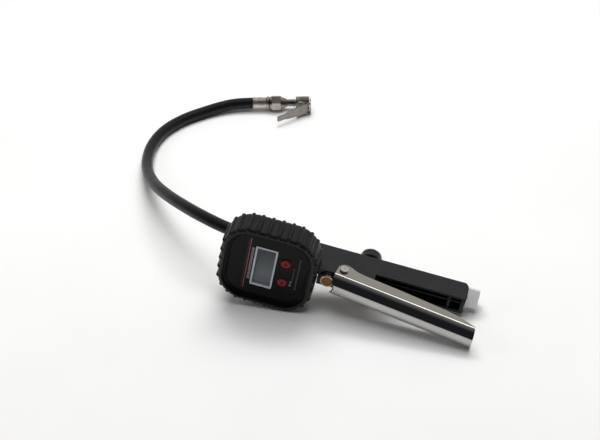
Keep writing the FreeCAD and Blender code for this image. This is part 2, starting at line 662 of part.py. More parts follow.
# ---------------------------------------------------------------- bleed valve
bx, bf, br = s("bleed_x"), s("bleed_face"), s("bleed_radius")
node("bleed_button", turned("bleed_button_body", "y", (bx, 0.0), [
    (bf + 0.35, 0.0), (bf + 0.35, 3.3), (bf, 3.7), (bf, br - 0.9), (bf + 0.3, br - 0.25), (bf + 0.9, br),
    (bf + 2.2, br), (bf + 2.2, 4.4), (bf + 1.3, 4.4), (bf + 1.3, s("bleed_stem")), (17.2, s("bleed_stem")),
    (17.2, 1.4), (19.0, 1.4), (19.0, s("bleed_stem")), (20.6, s("bleed_stem")), (20.6, 0.0)]))
node("bleed_oring", turned("bleed_oring_body", "y", (bx, 0.0), [
    (17.3, 1.45), (17.3, 3.4), (17.6, 3.9), (18.6, 3.9), (18.9, 3.4), (18.9, 1.45)]))
node("bleed_collar", turned("bleed_collar_body", "y", (bx, 0.0), [
    (s("collar_front"), br + 0.3), (s("collar_front"), s("collar_radius") - 0.3),
    (s("collar_front") + 0.3, s("collar_radius")), (14.4, s("collar_radius")), (14.4, 4.8), (24.0, 4.8),
    (24.0, 1.2), (23.2, 1.2), (23.2, 3.96), (14.6, 3.96), (14.6, s("bleed_stem") + 0.06),
    (13.5, s("bleed_stem") + 0.06), (13.5, br + 0.3)]))
node("bleed_spring", spring("bleed_spring", "y", (bx, 0.0), bf + 1.35, 13.45, 3.2, 0.35, 2.5))

# ---------------------------------------------------------------- hose tail at the handle
hs0 = s("hand_start")
tail_hex = common("tail_hex", hexagon("tail_hex_bar", s("tail_flats"), hs0 - s("tail_end"), (s("tail_end"), ay, 0.0), "x"),
                  turned("tail_hex_chamfer", "x", (ay, 0.0), [
                      (s("tail_end"), 0.0), (s("tail_end"), 7.6), (s("tail_end") + 0.8, 8.7),
                      (hs0 - 0.8, 8.7), (hs0, 7.6), (hs0, 0.0)]))
tail_rod = turned("tail_rod", "x", (ay, 0.0), [
    (s("gun_ferrule_end") + 0.3, 0.0), (s("gun_ferrule_end") + 0.3, 3.4), (-10.0, 4.6), (-10.0, 3.6), (-6.5, 4.6),
    (-6.5, 3.6), (-3.0, 4.6), (-3.0, 3.6), (0.5, 4.6), (0.5, 3.6), (s("tail_end") + 1.0, 3.6),
    (s("tail_end") + 1.0, 4.9), (21.5, 4.9), (21.5, 0.0)])
node("hose_barb", remove("hose_barb_cut", join("hose_barb_solid", [tail_hex, tail_rod]), [
    cylinder("tail_bore", 2.2, 40.0, (-15.0, ay, 0.0), "x")]))
node("gun_ferrule", turned("gun_ferrule_body", "x", (ay, 0.0), [
    (s("gun_ferrule_end"), 4.8), (s("gun_ferrule_end"), 7.0), (s("gun_ferrule_end") + 0.5, s("gun_ferrule_radius")),
    (-8.5, s("gun_ferrule_radius")), (-8.0, 7.0), (-5.5, 7.0), (-5.0, s("gun_ferrule_radius")),
    (-1.5, s("gun_ferrule_radius")), (-1.0, 7.0), (1.5, 7.0), (2.0, s("gun_ferrule_radius")),
    (s("tail_end"), s("gun_ferrule_radius")), (s("tail_end"), 4.8)]))

# ---------------------------------------------------------------- gauge head: case
def case_outline(k):
    round_rect(k, s("case_half_x"), s("case_half_z"), s("case_corner"))


cw = s("case_wall")
plate_y = s("face_front") + s("face_thick")
plate_b = plate_y + s("plate_thick")
fh = plate("front_case", s("case_front"), s("case_split"), case_outline)
dig(fh, "front_case_hollow", plate_b, 20.0,
    lambda k: round_rect(k, s("case_half_x") - cw, s("case_half_z") - cw, s("case_corner") - cw))
sk = sketch(fh, "front_case_bezel_outline", "XZ", (0.0, 0.0, -s("case_front")))
round_rect(sk, s("face_half_x") + 0.1, s("face_half_z") + 0.1, s("face_corner"))
bez = pocket(fh, "front_case_bezel", sk, plate_y - s("case_front"))
doc.recompute()
inner = edges_where(bez.Shape, lambda e: abs(e.BoundBox.YMin - num(s("case_front"))) < 1e-4
                    and abs(e.BoundBox.YMax - num(s("case_front"))) < 1e-4
                    and max(abs(e.BoundBox.XMin), abs(e.BoundBox.XMax)) < num(s("face_half_x")) + 0.5
                    and max(abs(e.BoundBox.ZMin), abs(e.BoundBox.ZMax)) < num(s("face_half_z")) + 0.5)
slope = fh.newObject("PartDesign::Chamfer", "front_case_slope")
slope.Base = (bez, inner)
slope.Size = 2.2
bosses = [cylinder("front_boss_%d" % i, 3.4, s("case_split") - plate_b + 0.5,
                   (sx * s("screw_x"), plate_b - 0.5, sz * s("screw_z")), "y")
          for i, (sx, sz) in enumerate(((1, 1), (1, -1), (-1, 1), (-1, -1)))]
posts = [cylinder("board_post_%d" % i, 2.2, s("board_front") - plate_b + 0.5, (x, plate_b - 0.5, z), "y")
         for i, (x, z) in enumerate(((20.0, 29.5), (20.0, -29.5), (-20.0, 29.5), (-20.0, -29.5)))]
lx, lhx, lhz = s("lcd_x"), s("lcd_half_x"), s("lcd_half_z")
bxx, bzz = s("button_x"), s("button_z")
openings = [block("lcd_hole", (lx - lhx - 0.05, 0.0, -lhz - 0.05), (lx + lhx + 0.05, 10.0, lhz + 0.05)),
            cylinder("button_hole_a", s("button_radius") + 0.35, 12.0, (bxx, 0.0, bzz), "y"),
            cylinder("button_hole_b", s("button_radius") + 0.35, 12.0, (bxx, 0.0, -bzz), "y")]
screw_bores = [cylinder("front_screw_bore_%d" % i, 1.45, 8.0,
                        (sx * s("screw_x"), 8.0, sz * s("screw_z")), "y")
               for i, (sx, sz) in enumerate(((1, 1), (1, -1), (-1, 1), (-1, -1)))]
post_bores = [cylinder("post_bore_%d" % i, 0.95, 4.5, (x, 7.5, z), "y")
              for i, (x, z) in enumerate(((20.0, 29.5), (20.0, -29.5), (-20.0, 29.5), (-20.0, -29.5)))]
node("front_housing", remove("front_housing_cut", join("front_housing_solid", [fh] + bosses + posts),
                             openings + screw_bores + post_bores))

rh = plate("rear_case", s("case_split"), s("case_back"), case_outline)
sk = sketch(rh, "rear_case_hollow_outline", "XZ", (0.0, 0.0, -(s("case_back") - 2.0)))
round_rect(sk, s("case_half_x") - cw, s("case_half_z") - cw, s("case_corner") - cw)
pocket(rh, "rear_case_hollow", sk, s("case_back") - 2.0 - s("case_split"), back=True)
rear_bosses = [cylinder("rear_boss_%d" % i, 3.4, s("case_back") - s("case_split") - 1.0,
                        (sx * s("screw_x"), s("case_split"), sz * s("screw_z")), "y")
               for i, (sx, sz) in enumerate(((1, 1), (1, -1), (-1, 1), (-1, -1)))]
cell_wall = turned("cell_wall", "y", (0.0, s("cell_z")), [
    (16.6, s("cell_radius") + 0.15), (16.6, s("cell_radius") + 1.25), (23.0, s("cell_radius") + 1.25),
    (23.0, s("cell_radius") + 0.15)])
rear_screw_bores = []
for i, (sx, sz) in enumerate(((1, 1), (1, -1), (-1, 1), (-1, -1))):
    rear_screw_bores.append(cylinder("rear_screw_bore_%d" % i, 1.7, 14.0,
                                     (sx * s("screw_x"), s("case_split") - 1.0, sz * s("screw_z")), "y"))
    rear_screw_bores.append(cylinder("rear_screw_head_bore_%d" % i, 2.9, 3.2,
                                     (sx * s("screw_x"), s("case_back") - 2.2, sz * s("screw_z")), "y"))
node("rear_housing", remove("rear_housing_cut", join("rear_housing_solid", [rh] + rear_bosses + [cell_wall]), [
    cylinder("door_hole", s("cell_radius") + 0.4, 8.0, (0.0, s("case_back") - 3.0, s("cell_z")), "y"),
    cylinder("stem_hole", 5.05, 8.0, (s("stem_x"), s("case_back") - 4.0, 0.0), "y")] + rear_screw_bores))
node("housing_screws", group("housing_screws_set", [
    turned("housing_screw_%d" % i, "y", (sx * s("screw_x"), sz * s("screw_z")), [
        (10.6, 0.0), (11.4, 1.4), (s("case_back") - 2.2, 1.4), (s("case_back") - 2.2, 2.7),
        (s("case_back") - 0.5, 2.5), (s("case_back") - 0.3, 1.6), (s("case_back") - 1.3, 0.7),
        (s("case_back") - 1.3, 0.0)])
    for i, (sx, sz) in enumerate(((1, 1), (1, -1), (-1, 1), (-1, -1)))]))
door = turned("battery_door_body", "y", (0.0, s("cell_z")), [
    (s("case_back") - 2.6, 0.0), (s("case_back") - 2.6, 11.6), (s("case_back") - 1.8, s("cell_radius")),
    (s("case_back") + 0.1, s("cell_radius")), (s("case_back") + 0.5, 11.8), (s("case_back") + 0.5, 0.0)])
node("battery_door", remove("battery_door_cut", door, [
    block("coin_slot", (-6.5, s("case_back") - 0.7, s("cell_z") - 0.9), (Size(6.5, "6.5"), s("case_back") + 2.0,
                                                                          s("cell_z") + 0.9))]))
node("coin_cell", turned("coin_cell_body", "y", (0.0, s("cell_z")), [
    (16.6, 0.0), (16.6, 11.0), (17.0, 11.4), (17.0, s("cell_radius")), (21.4, s("cell_radius")),
    (21.6, s("cell_radius") - 0.3), (21.6, 0.0)]))
node("battery_contacts", group("battery_contacts_pair", [
    block("contact_a", (Size(-3.0, "(0 - 3.0)"), s("board_front") + s("board_thick") + 0.05, s("cell_z") - 5.0),
          (Size(3.0, "3.0"), Size(16.5, "16.5"), s("cell_z") - 4.6)),
    block("contact_b", (Size(-3.0, "(0 - 3.0)"), s("board_front") + s("board_thick") + 0.05, s("cell_z") + 4.6),
          (Size(3.0, "3.0"), Size(16.5, "16.5"), s("cell_z") + 5.0))]))

# ---------------------------------------------------------------- gauge head: boot
bt = plate("boot_body", Size(0.0, "0.0"), s("boot_back"),
           lambda k: round_rect(k, s("boot_half_x"), s("boot_half_z"), s("boot_corner")))
sk = sketch(bt, "boot_opening_outline", "XZ", (0.0, 0.0, 0.0))
round_rect(sk, s("lip_half_x"), s("lip_half_z"), s("lip_corner"))
pocket(bt, "boot_opening", sk, 5.0)
sk = sketch(bt, "boot_cavity_outline", "XZ", (0.0, 0.0, -s("lip_thick")))
round_rect(sk, s("case_half_x") + 0.1, s("case_half_z") + 0.1, s("case_corner") + 0.1)
pocket(bt, "boot_cavity", sk, s("case_back") + 0.1 - s("lip_thick"))
sk = sketch(bt, "boot_back_outline", "XZ", (0.0, 0.0, -s("boot_back") - 1.0))
round_rect(sk, s("lip_half_x") - 2.5, s("lip_half_z") - 2.5, s("lip_corner") - 2.5)
pocket(bt, "boot_back_opening", sk, 4.0, back=True)

# rib centres on one quarter of the outline: distance along X and Z
RIBS = [(4.8, 44.25), (14.3, 44.2), (23.9, 43.45), (33.4, 39.4), (40.1, 32.3), (44.3, 21.7), (45.3, 10.4)]
ribs = []
for x, z in RIBS:
    for sx in (1, -1):
        for sz in (1, -1):
            ribs.append((sx * x, sz * z))
ribs += [(45.35, 0.0), (-45.35, 0.0)]
rr = num(s("rib_radius"))
rib_solids = []
for x, z in ribs:
    lx0, lz0 = abs(x) - (num(s("boot_half_x")) - num(s("boot_corner"))), abs(z) - (
        num(s("boot_half_z")) - num(s("boot_corner")))
    # outward direction of the outline at this rib
    if lx0 <= 0:
        d = V(0, 0, math.copysign(1, z))
    elif lz0 <= 0:
        d = V(math.copysign(1, x), 0, 0)
    else:
        ln = math.hypot(lx0, lz0)
        d = V(math.copysign(lx0 / ln, x), 0, math.copysign(lz0 / ln, z))
    c = V(x, 0, z) - d * rr
    y0, y1 = 0.5, num(s("boot_back")) - 1.2
    k = rr * math.sqrt(0.5)
    side = [V(0, y0, 0), V(0, y1, 0), V(rr - 0.5, y1, 0), V(rr, y1 - 0.5, 0), V(rr, y0 + rr, 0)]
    rim_edges = [Part.LineSegment(side[i], side[i + 1]).toShape() for i in range(4)]
    rim_edges.append(Part.Arc(side[4], V(k, y0 + rr - k, 0), side[0]).toShape())
    one = Part.Face(Part.Wire(rim_edges)).revolve(V(0, 0, 0), V(0, 1, 0), 360)
    if one.Volume < 0:
        one.reverse()
    one.translate(c)
    rib_solids.append(one)
rib_set = doc.addObject("Part::Feature", "boot_ribs")
rib_set.Shape = Part.makeCompound(rib_solids)
boot = join("boot_solid", [bt, rib_set])
node("rubber_boot", remove("rubber_boot_cut", boot, [
    block("boot_notch", (Size(30.0, "30.0"), s("case_back") + 0.15, -hw - 0.4), (Size(60.0, "60.0"), Size(40.0, "40.0"), hw + 0.4)),
]))

# ---------------------------------------------------------------- gauge head: face
fp = plate("face_plate_body", s("face_front"), plate_y,
           lambda k: round_rect(k, s("face_half_x"), s("face_half_z"), s("face_corner")))
node("face_plate", remove("face_plate_cut", fp, [
    block("face_lcd_hole", (lx - lhx - 0.05, 0.0, -lhz - 0.05), (lx + lhx + 0.05, 10.0, lhz + 0.05)),
    cylinder("face_button_hole_a", s("ring_radius") + 0.05, 12.0, (bxx, 0.0, bzz), "y"),
    cylinder("face_button_hole_b", s("ring_radius") + 0.05, 12.0, (bxx, 0.0, -bzz), "y")]))
rim = s("lcd_rim")
lf = plate("lcd_frame_body", s("face_front") - 0.6, plate_y + 1.0,
           lambda k: round_rect(k, lhx, lhz, Size(1.2, "1.2"), lx, 0.0))
node("lcd_frame", remove("lcd_frame_cut", lf, [
    block("lcd_frame_hole", (lx - lhx + rim, 0.0, rim - lhz), (lx + lhx - rim, 10.0, lhz - rim))]))
node("lcd_window", block("lcd_window_box", (lx - lhx + rim + 0.05, s("face_front") + 0.2, rim - lhz + 0.05),
                         (lx + lhx - rim - 0.05, plate_y + 0.6, lhz - rim - 0.05)))
node("lcd_module", block("lcd_module_box", (lx - lhx + 0.4, plate_y + 1.1, 0.4 - lhz),
                         (lx + lhx - 0.4, s("board_front") - 2.4, lhz - 0.4)))
node("zebra_strips", group("zebra_strips_pair", [
    block("zebra_a", (lx - lhx + 1.0, s("board_front") - 2.35, 1.5 - lhz), (lx - lhx + 3.0, s("board_front") - 0.05, lhz - 1.5)),
    block("zebra_b", (lx + lhx - 3.0, s("board_front") - 2.35, 1.5 - lhz), (lx + lhx - 1.0, s("board_front") - 0.05, lhz - 1.5))]))
node("button_rings", group("button_rings_pair", [
    turned("button_ring_%d" % i, "y", (bxx, z), [
        (s("face_front") - 0.5, s("button_radius") + 0.3), (s("face_front") - 0.8, s("button_radius") + 0.7),
        (s("face_front") - 0.3, s("ring_radius") - 0.2), (s("face_front") + 0.1, s("ring_radius")),
        (plate_y, s("ring_radius")), (plate_y, s("button_radius") + 0.3)])
    for i, z in enumerate((bzz, -bzz))]))
for label, z in (("power_button", bzz), ("unit_button", -bzz)):
    node(label, turned(label + "_body", "y", (bxx, z), [
        (s("button_front"), 0.0), (s("button_front") + 0.15, 2.2), (s("button_front") + 0.7, s("button_radius") - 0.7),
        (s("button_front") + 1.5, s("button_radius")), (plate_b + 0.3, s("button_radius")),
        (plate_b + 0.3, s("button_radius") + 1.0), (plate_b + 0.9, s("button_radius") + 1.0), (plate_b + 0.9, 0.0)]))
for label, z in (("power_plunger", bzz), ("unit_plunger", -bzz)):
    node(label, turned(label + "_body", "y", (bxx, z), [
        (plate_b + 0.95, 0.0), (plate_b + 0.95, 1.5), (9.7, 1.5), (9.7, 0.0)]))
node("switch_bases", group("switch_bases_pair", [
    remove("switch_base_%d" % i, block("switch_box_%d" % i, (bxx - 3.0, s("board_front") - 2.2, z - 3.0),
                                       (bxx + 3.0, s("board_front") - 0.05, z + 3.0)),
           [cylinder("switch_bore_%d" % i, 1.57, 4.5, (bxx, s("board_front") - 4.9, z), "y")])
    for i, z in enumerate((bzz, -bzz))]))
board = block("board_box", (Size(-25.5, "(0 - 25.5)"), s("board_front"), Size(-32.5, "(0 - 32.5)")),
              (Size(29.0, "29.0"), s("board_front") + s("board_thick"), Size(32.5, "32.5")))
node("circuit_board", remove("circuit_board_cut", board, [
    cylinder("board_hole_%d" % i, 1.1, 6.0, (x, 9.0, z), "y")
    for i, (x, z) in enumerate(((20.0, 29.5), (20.0, -29.5), (-20.0, 29.5), (-20.0, -29.5)))] + [
    block("board_notch_%d" % i, (Size(23.6, "23.6"), Size(9.0, "9.0"), a), (Size(32.0, "32.0"), Size(16.0, "16.0"), b))
    for i, (a, b) in enumerate(((Size(22.6, "22.6"), Size(36.0, "36.0")),
                                (Size(-36.0, "(0 - 36.0)"), Size(-22.6, "(0 - 22.6)"))))] + [
    block("board_notch_left_%d" % i, (Size(-32.0, "(0 - 32.0)"), Size(9.0, "9.0"), a), (Size(-23.6, "(0 - 23.6)"), Size(16.0, "16.0"), b))
    for i, (a, b) in enumerate(((Size(22.6, "22.6"), Size(36.0, "36.0")),
                                (Size(-36.0, "(0 - 36.0)"), Size(-22.6, "(0 - 22.6)"))))]))
node("board_screws", group("board_screws_set", [
    turned("board_screw_%d" % i, "y", (x, z), [
        (8.2, 0.0), (8.2, 0.9), (s("board_front") + s("board_thick") + 0.05, 0.9),
        (s("board_front") + s("board_thick") + 0.05, 1.8), (s("board_front") + s("board_thick") + 1.2, 1.5),
        (s("board_front") + s("board_thick") + 1.2, 0.0)])
    for i, (x, z) in enumerate(((20.0, 29.5), (20.0, -29.5), (-20.0, 29.5), (-20.0, -29.5)))]))

# ---------------------------------------------------------------- air stem and sensor
sx0 = s("stem_x")
node("pressure_sensor", turned("pressure_sensor_body", "y", (sx0, 0.0), [
    (s("board_front") + s("board_thick") + 0.05, 0.0), (s("board_front") + s("board_thick") + 0.05, 5.6),
    (15.6, 5.6), (15.6, 4.2), (17.4, 4.2), (17.4, 0.0)]))
stem_hex = hexagon("stem_hex", 14.0, s("hand_front") - s("case_back"), (sx0, s("case_back"), 0.0), "y")
stem_rod = turned("stem_rod", "y", (sx0, 0.0), [
    (17.5, 0.0), (17.5, 4.95), (33.6, 4.95), (33.6, 0.0)])
node("gauge_stem", remove("gauge_stem_cut", join("gauge_stem_solid", [stem_hex, stem_rod]), [
    cylinder("stem_bore", 1.2, 20.0, (sx0, 16.0, 0.0), "y")]))
node("stem_nut", remove("stem_nut_cut", hexagon("stem_nut_bar", 13.0, 3.0, (sx0, s("case_back") - 5.05, 0.0), "y"), [
    cylinder("stem_nut_bore", 4.97, 8.0, (sx0, 16.0, 0.0), "y")]))

# ---------------------------------------------------------------- hose
# Straight runs joined by tangent arcs; the first run leaves the ferrule along the air passage.
tool = frame_tool()
ox, oy = num(s("origin_x")), num(s("origin_y"))
ROUTE = [
    (-51.5, 45.2, 55.4), (-71.5, 55.0, 55.0), (-91.0, 69.2, 51.2), (-111.5, 88.2, 44.2),
    (-131.0, 110.5, 34.8), (-148.5, 134.5, 24.8), (-163.0, 161.0, 15.5), (-173.5, 190.0, 9.0),
    (-177.8, 220.5, 6.4), (-172.5, 249.5, 6.05), (-157.5, 273.8, 6.05), (-138.0, 291.9, 6.2),
    (-121.8, 303.4, 7.5), (-105.93, 310.88, 8.7)]
route = [tool.multVec(V(num(s("gun_ferrule_end")), num(ay), 0)),
         tool.multVec(V(num(s("gun_ferrule_end")) - 19.0, num(ay), 0))]
route += [V(x + ox, y + oy, z) for x, y, z in ROUTE]
route.append(V(num(s("chuck_x")) + ox, num(s("chuck_y")) + oy, num(s("chuck_z"))))
edges = []
length = 0.0
last = route[0]
for i in range(1, len(route) - 1):
    a, b, c = route[i - 1], route[i], route[i + 1]
    u, w = (a - b), (c - b)
    run = min(u.Length, w.Length)
    turn = math.pi - u.getAngle(w)
    radius = 0.45 * run / math.tan(turn / 2)
    cutback = 0.45 * run
    u.normalize()
    w.normalize()
    p, q = b + u * cutback, b + w * cutback
    bis = (u + w)
    bis.normalize()
    centre = b + bis * (radius / math.cos(turn / 2))
    mid = centre - bis * radius
    edges.append(Part.LineSegment(last, p).toShape())
    edges.append(Part.Arc(p, mid, q).toShape())
    length += (p - last).Length + radius * turn
    last = q
    print("hose point %2d  run %5.1f  turn %5.1f deg  radius %6.1f" % (i, run, math.degrees(turn), radius))
edges.append(Part.LineSegment(last, route[-1]).toShape())
length += (route[-1] - last).Length
path = Part.Wire(edges)
start_dir = route[1] - route[0]
ring = Part.Wire([Part.Circle(route[0], start_dir, num(s("hose_radius"))).toShape()])
tube = path.makePipeShell([ring], True, False)
expected = math.pi * num(s("hose_radius")) ** 2 * length
print("hose length %.1f mm, volume %.0f, section times length %.0f" % (length, tube.Volume, expected))
print("hose route", [tuple(round(c, 2) for c in p) for p in route])
hose = doc.addObject("Part::Feature", "hose_tube")
hose.Shape = tube
hose.Placement = Placement()
node("hose", hose, "free")

# ---------------------------------------------------------------- chuck
fl, ce, ne = s("ferrule_length"), s("collar_end"), s("nut_end")
fr = s("ferrule_radius")
node("chuck_ferrule", turned("chuck_ferrule_body", "x", (0.0, 0.0), [
    (0.0, 5.0), (0.0, fr - 0.3), (0.4, fr), (2.2, fr), (2.8, fr - 0.5), (6.0, fr - 0.5), (6.6, fr - 0.1),
    (9.6, fr - 0.1), (10.2, fr - 0.5), (13.4, fr - 0.5), (fl, fr - 0.2), (fl, 5.0)]), "chuck")
node("chuck_barb", turned("chuck_barb_body", "x", (0.0, 0.0), [
    (0.3, 1.7), (0.3, 3.4), (3.6, 4.7), (3.6, 3.7), (7.0, 4.7), (7.0, 3.7), (10.4, 4.7), (10.4, 3.7), (fl, 3.7),
    (fl, 6.2), (fl + 1.6, 7.4), (fl + 2.6, 7.4), (ce - 1.6, 5.9), (ce - 1.2, 7.2), (ce, 7.2), (ce, 4.9), (25.8, 4.9),
    (25.8, 1.7)]), "chuck")
nut_hex = common("nut_hex", hexagon("nut_bar", s("nut_flats"), ne - ce - 0.1, (ce + 0.1, 0.0, 0.0), "x"),
                 turned("nut_chamfer", "x", (0.0, 0.0), [
                     (ce + 0.1, 0.0), (ce + 0.1, 7.5), (ce + 1.0, 8.7), (ne - 1.4, 8.7), (ne, 7.0), (ne, 0.0)]))
node("swivel_nut", remove("swivel_nut_cut", nut_hex, [
    cylinder("nut_bore", 4.97, 16.0, (18.0, 0.0, 0.0), "x")]), "chuck")
head0, head1, hr = s("head_start"), s("head_end"), s("head_radius")
chuck_bar = turned("chuck_bar", "x", (0.0, 0.0), [
    (26.0, 0.0), (26.0, 4.9), (ne + 0.1, 4.9), (ne + 0.1, 6.2), (32.4, 6.2), (37.6, 3.9), (38.6, 3.3), (39.2, 4.1),
    (41.6, 4.1), (42.2, 3.3), (42.8, 4.1), (45.0, 4.1), (45.6, 3.6), (head0, 3.6), (head0, hr - 0.6),
    (head0 + 0.6, hr), (head1 - 0.5, hr), (head1, hr - 0.5), (head1, 0.0)])
cx0, cy0 = s("clip_x"), s("clip_y")
lug = block("clip_lug", (cx0 - 2.6, cy0, Size(-4.6, "(0 - 4.6)")), (cx0 + 2.6, Size(-4.6, "(0 - 4.6)"), Size(2.0, "2.0")))
lug_round = cylinder("clip_lug_round", 2.9, 6.6, (cx0, cy0, -4.6), "z")
node("chuck_body", remove("chuck_body_cut", join("chuck_solid", [chuck_bar, lug, lug_round]), [
    cylinder("chuck_air", 1.7, 30.0, (25.0, 0.0, 0.0), "x"),
    cylinder("chuck_mouth", s("mouth_radius"), 12.0, (s("mouth_floor"), 0.0, 0.0), "x"),
    cylinder("chuck_seal_groove", 4.7, 1.9, (s("mouth_floor") - 1.9, 0.0, 0.0), "x"),
    cylinder("clip_bore", s("clip_pin") + 0.02, 14.0, (cx0, cy0, -7.0), "z")]), "chuck")
node("chuck_seal", turned("chuck_seal_body", "x", (0.0, 0.0), [
    (s("mouth_floor") - 1.85, 1.75), (s("mouth_floor") - 1.85, 4.65), (s("mouth_floor") - 0.02, 4.65),
    (s("mouth_floor") - 0.02, 1.75)]), "chuck")
node("chuck_depressor", turned("chuck_depressor_body", "x", (0.0, 0.0), [
    (44.5, 0.0), (44.5, 1.65), (46.5, 1.65), (46.5, 1.0), (s("mouth_floor") - 0.4, 1.0), (s("mouth_floor") - 0.05, 0.7),
    (s("mouth_floor") - 0.05, 0.0)]), "chuck")
# thumb lever: two ears, a web that runs past the nut, and a notched claw plate before the mouth
lever_turn = Rotation(V(0, 0, 1), num(s("clip_angle")))
web_body = doc.addObject("PartDesign::Body", "clip_web")
sk = sketch(web_body, "clip_web_outline", "XZ", (0.0, 0.0, 5.0))
polygon(sk, [(-32.6, -2.9), (-31.6, -3.6), (-15.5, -3.8), (-10.5, -6.4), (4.6, -6.4), (7.0, -6.4),
             (7.0, 6.4), (4.6, 6.4), (-10.5, 6.4), (-15.5, 3.8), (-31.6, 3.6), (-32.6, 2.9)])
pad(web_body, "clip_web_pad", sk, 1.1, back=False)
web_body.Placement = Placement(V(num(cx0), num(cy0), 0), lever_turn)


def ear(name, z0):
    b = doc.addObject("PartDesign::Body", name)
    k = sketch(b, name + "_outline", "XY", (0.0, 0.0, z0))
    polygon(k, [(-10.5, -5.2), (7.0, -5.2), (7.2, -1.0), (4.6, 1.6), (2.0, 2.9), (-2.0, 2.9), (-3.6, 1.6), (-7.0, -2.4)])
    pad(b, name + "_pad", k, 1.0)
    b.Placement = Placement(V(num(cx0), num(cy0), 0), lever_turn)
    return b


claw = remove("clip_claw", block("clip_claw_plate", (s("head_end") + 0.4, Size(-12.5, "(0 - 12.5)"), Size(-6.4, "(0 - 6.4)")),
                                 (s("head_end") + 1.6, Size(5.2, "5.2"), Size(6.4, "6.4"))),
              [block("clip_claw_slot", (s("head_end") - 2.0, -(s("mouth_radius") + 0.9), -(s("mouth_radius") + 0.9)),
                     (s("head_end") + 4.0, Size(10.0, "10.0"), s("mouth_radius") + 0.9))])
side_a = block("clip_side_a", (Size(55.6, "55.6"), Size(-12.5, "(0 - 12.5)"), Size(5.3, "5.3")),
               (s("head_end") + 1.6, Size(-8.0, "(0 - 8.0)"), Size(6.3, "6.3")))
side_b = block("clip_side_b", (Size(55.6, "55.6"), Size(-12.5, "(0 - 12.5)"), Size(-6.3, "(0 - 6.3)")),
               (s("head_end") + 1.6, Size(-8.0, "(0 - 8.0)"), Size(-5.3, "(0 - 5.3)")))
node("chuck_lever", remove("chuck_lever_cut", join("chuck_lever_solid", [
    web_body, ear("clip_ear_a", 5.3), ear("clip_ear_b", -6.3), claw, side_a, side_b]), [
    cylinder("clip_hole", s("clip_pin") + 0.05, 20.0, (cx0, cy0, -10.0), "z")]), "chuck")
node("chuck_lever_pin", turned("chuck_lever_pin_body", "z", (cx0, cy0), [
    (-7.1, 0.0), (-7.1, 2.1), (-6.6, 2.3), (-6.6, s("clip_pin")), (6.6, s("clip_pin")), (6.6, 2.3), (7.1, 2.1),
    (7.1, 0.0)]), "chuck")
coil = spring("clip_spring", "z", (cx0, cy0), 2.2, 5.1, 2.2, 0.3, 3.0)
leg_in = cylinder("clip_spring_leg_in", 0.3, 4.2, (cx0 + 2.2, cy0, 2.5), "y")
leg_out = cylinder("clip_spring_leg_out", 0.3, 5.0, (cx0 - 5.0, cy0 - 2.2, 4.8), "x")
node("chuck_lever_spring", join("clip_spring_solid", [coil, leg_in, leg_out]), "chuck")

# ---------------------------------------------------------------- check and write
doc.recompute()
bad = []
for o in doc.Objects:
    if any(w in ("Invalid", "Error") for w in o.State):
        bad.append((o.Name, o.State))
box = None
for label, o in NODES:
    sh = o.Shape
    if sh.isNull() or not sh.isValid():
        bad.append((label, "shape"))
        continue
    if not sh.Solids:
        bad.append((label, "no solid"))
if bad:
    raise RuntimeError("failed objects: %s" % bad)
if len(set(n for n, _ in NODES)) != len(NODES):
    raise RuntimeError("two sub-parts share a name")

os.makedirs("parts", exist_ok=True)
for label, o in NODES:
    o.Shape.exportStep("parts/%s.step" % label)
CORD = ("hose", "chuck_ferrule", "chuck_barb", "swivel_nut", "chuck_body", "chuck_seal", "chuck_depressor",
        "chuck_lever", "chuck_lever_pin", "chuck_lever_spring")
for label, o in NODES:
    if label in CORD:
        continue
    b = o.Shape.optimalBoundingBox(False) if hasattr(o.Shape, "optimalBoundingBox") else o.Shape.BoundBox
    if box is None:
        box = b
    else:
        box.add(b)
print("tool box x %.3f %.3f  y %.3f %.3f  z %.3f %.3f" % (box.XMin, box.XMax, box.YMin, box.YMax, box.ZMin, box.ZMax))
print("centre x %.3f y %.3f" % ((box.XMin + box.XMax) / 2, (box.YMin + box.YMax) / 2))
for label, o in NODES:
    b = o.Shape.BoundBox
    print("%-20s solids %d volume %9.1f  x %7.1f %7.1f y %7.1f %7.1f z %6.1f %6.1f" % (
        label, len(o.Shape.Solids), o.Shape.Volume, b.XMin, b.XMax, b.YMin, b.YMax, b.ZMin, b.ZMax))
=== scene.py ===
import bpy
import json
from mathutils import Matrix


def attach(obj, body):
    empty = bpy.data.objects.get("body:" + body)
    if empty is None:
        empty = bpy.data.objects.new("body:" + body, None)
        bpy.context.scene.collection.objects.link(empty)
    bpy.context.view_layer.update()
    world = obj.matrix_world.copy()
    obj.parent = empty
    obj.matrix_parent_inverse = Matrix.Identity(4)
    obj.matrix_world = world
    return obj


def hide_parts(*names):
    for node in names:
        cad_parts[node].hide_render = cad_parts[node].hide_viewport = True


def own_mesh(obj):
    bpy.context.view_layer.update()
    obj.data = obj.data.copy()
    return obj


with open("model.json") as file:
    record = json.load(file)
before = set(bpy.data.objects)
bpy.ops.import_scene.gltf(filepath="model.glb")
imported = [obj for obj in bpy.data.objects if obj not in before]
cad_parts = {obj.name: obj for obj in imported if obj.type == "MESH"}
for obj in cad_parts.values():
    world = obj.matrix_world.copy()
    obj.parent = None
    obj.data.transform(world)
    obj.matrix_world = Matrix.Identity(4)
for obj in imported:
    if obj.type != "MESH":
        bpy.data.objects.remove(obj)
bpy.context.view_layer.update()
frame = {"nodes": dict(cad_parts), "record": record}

import json
import math

import bmesh
import bpy
from mathutils import Matrix, Vector

MM = 0.001
scene = bpy.context.scene

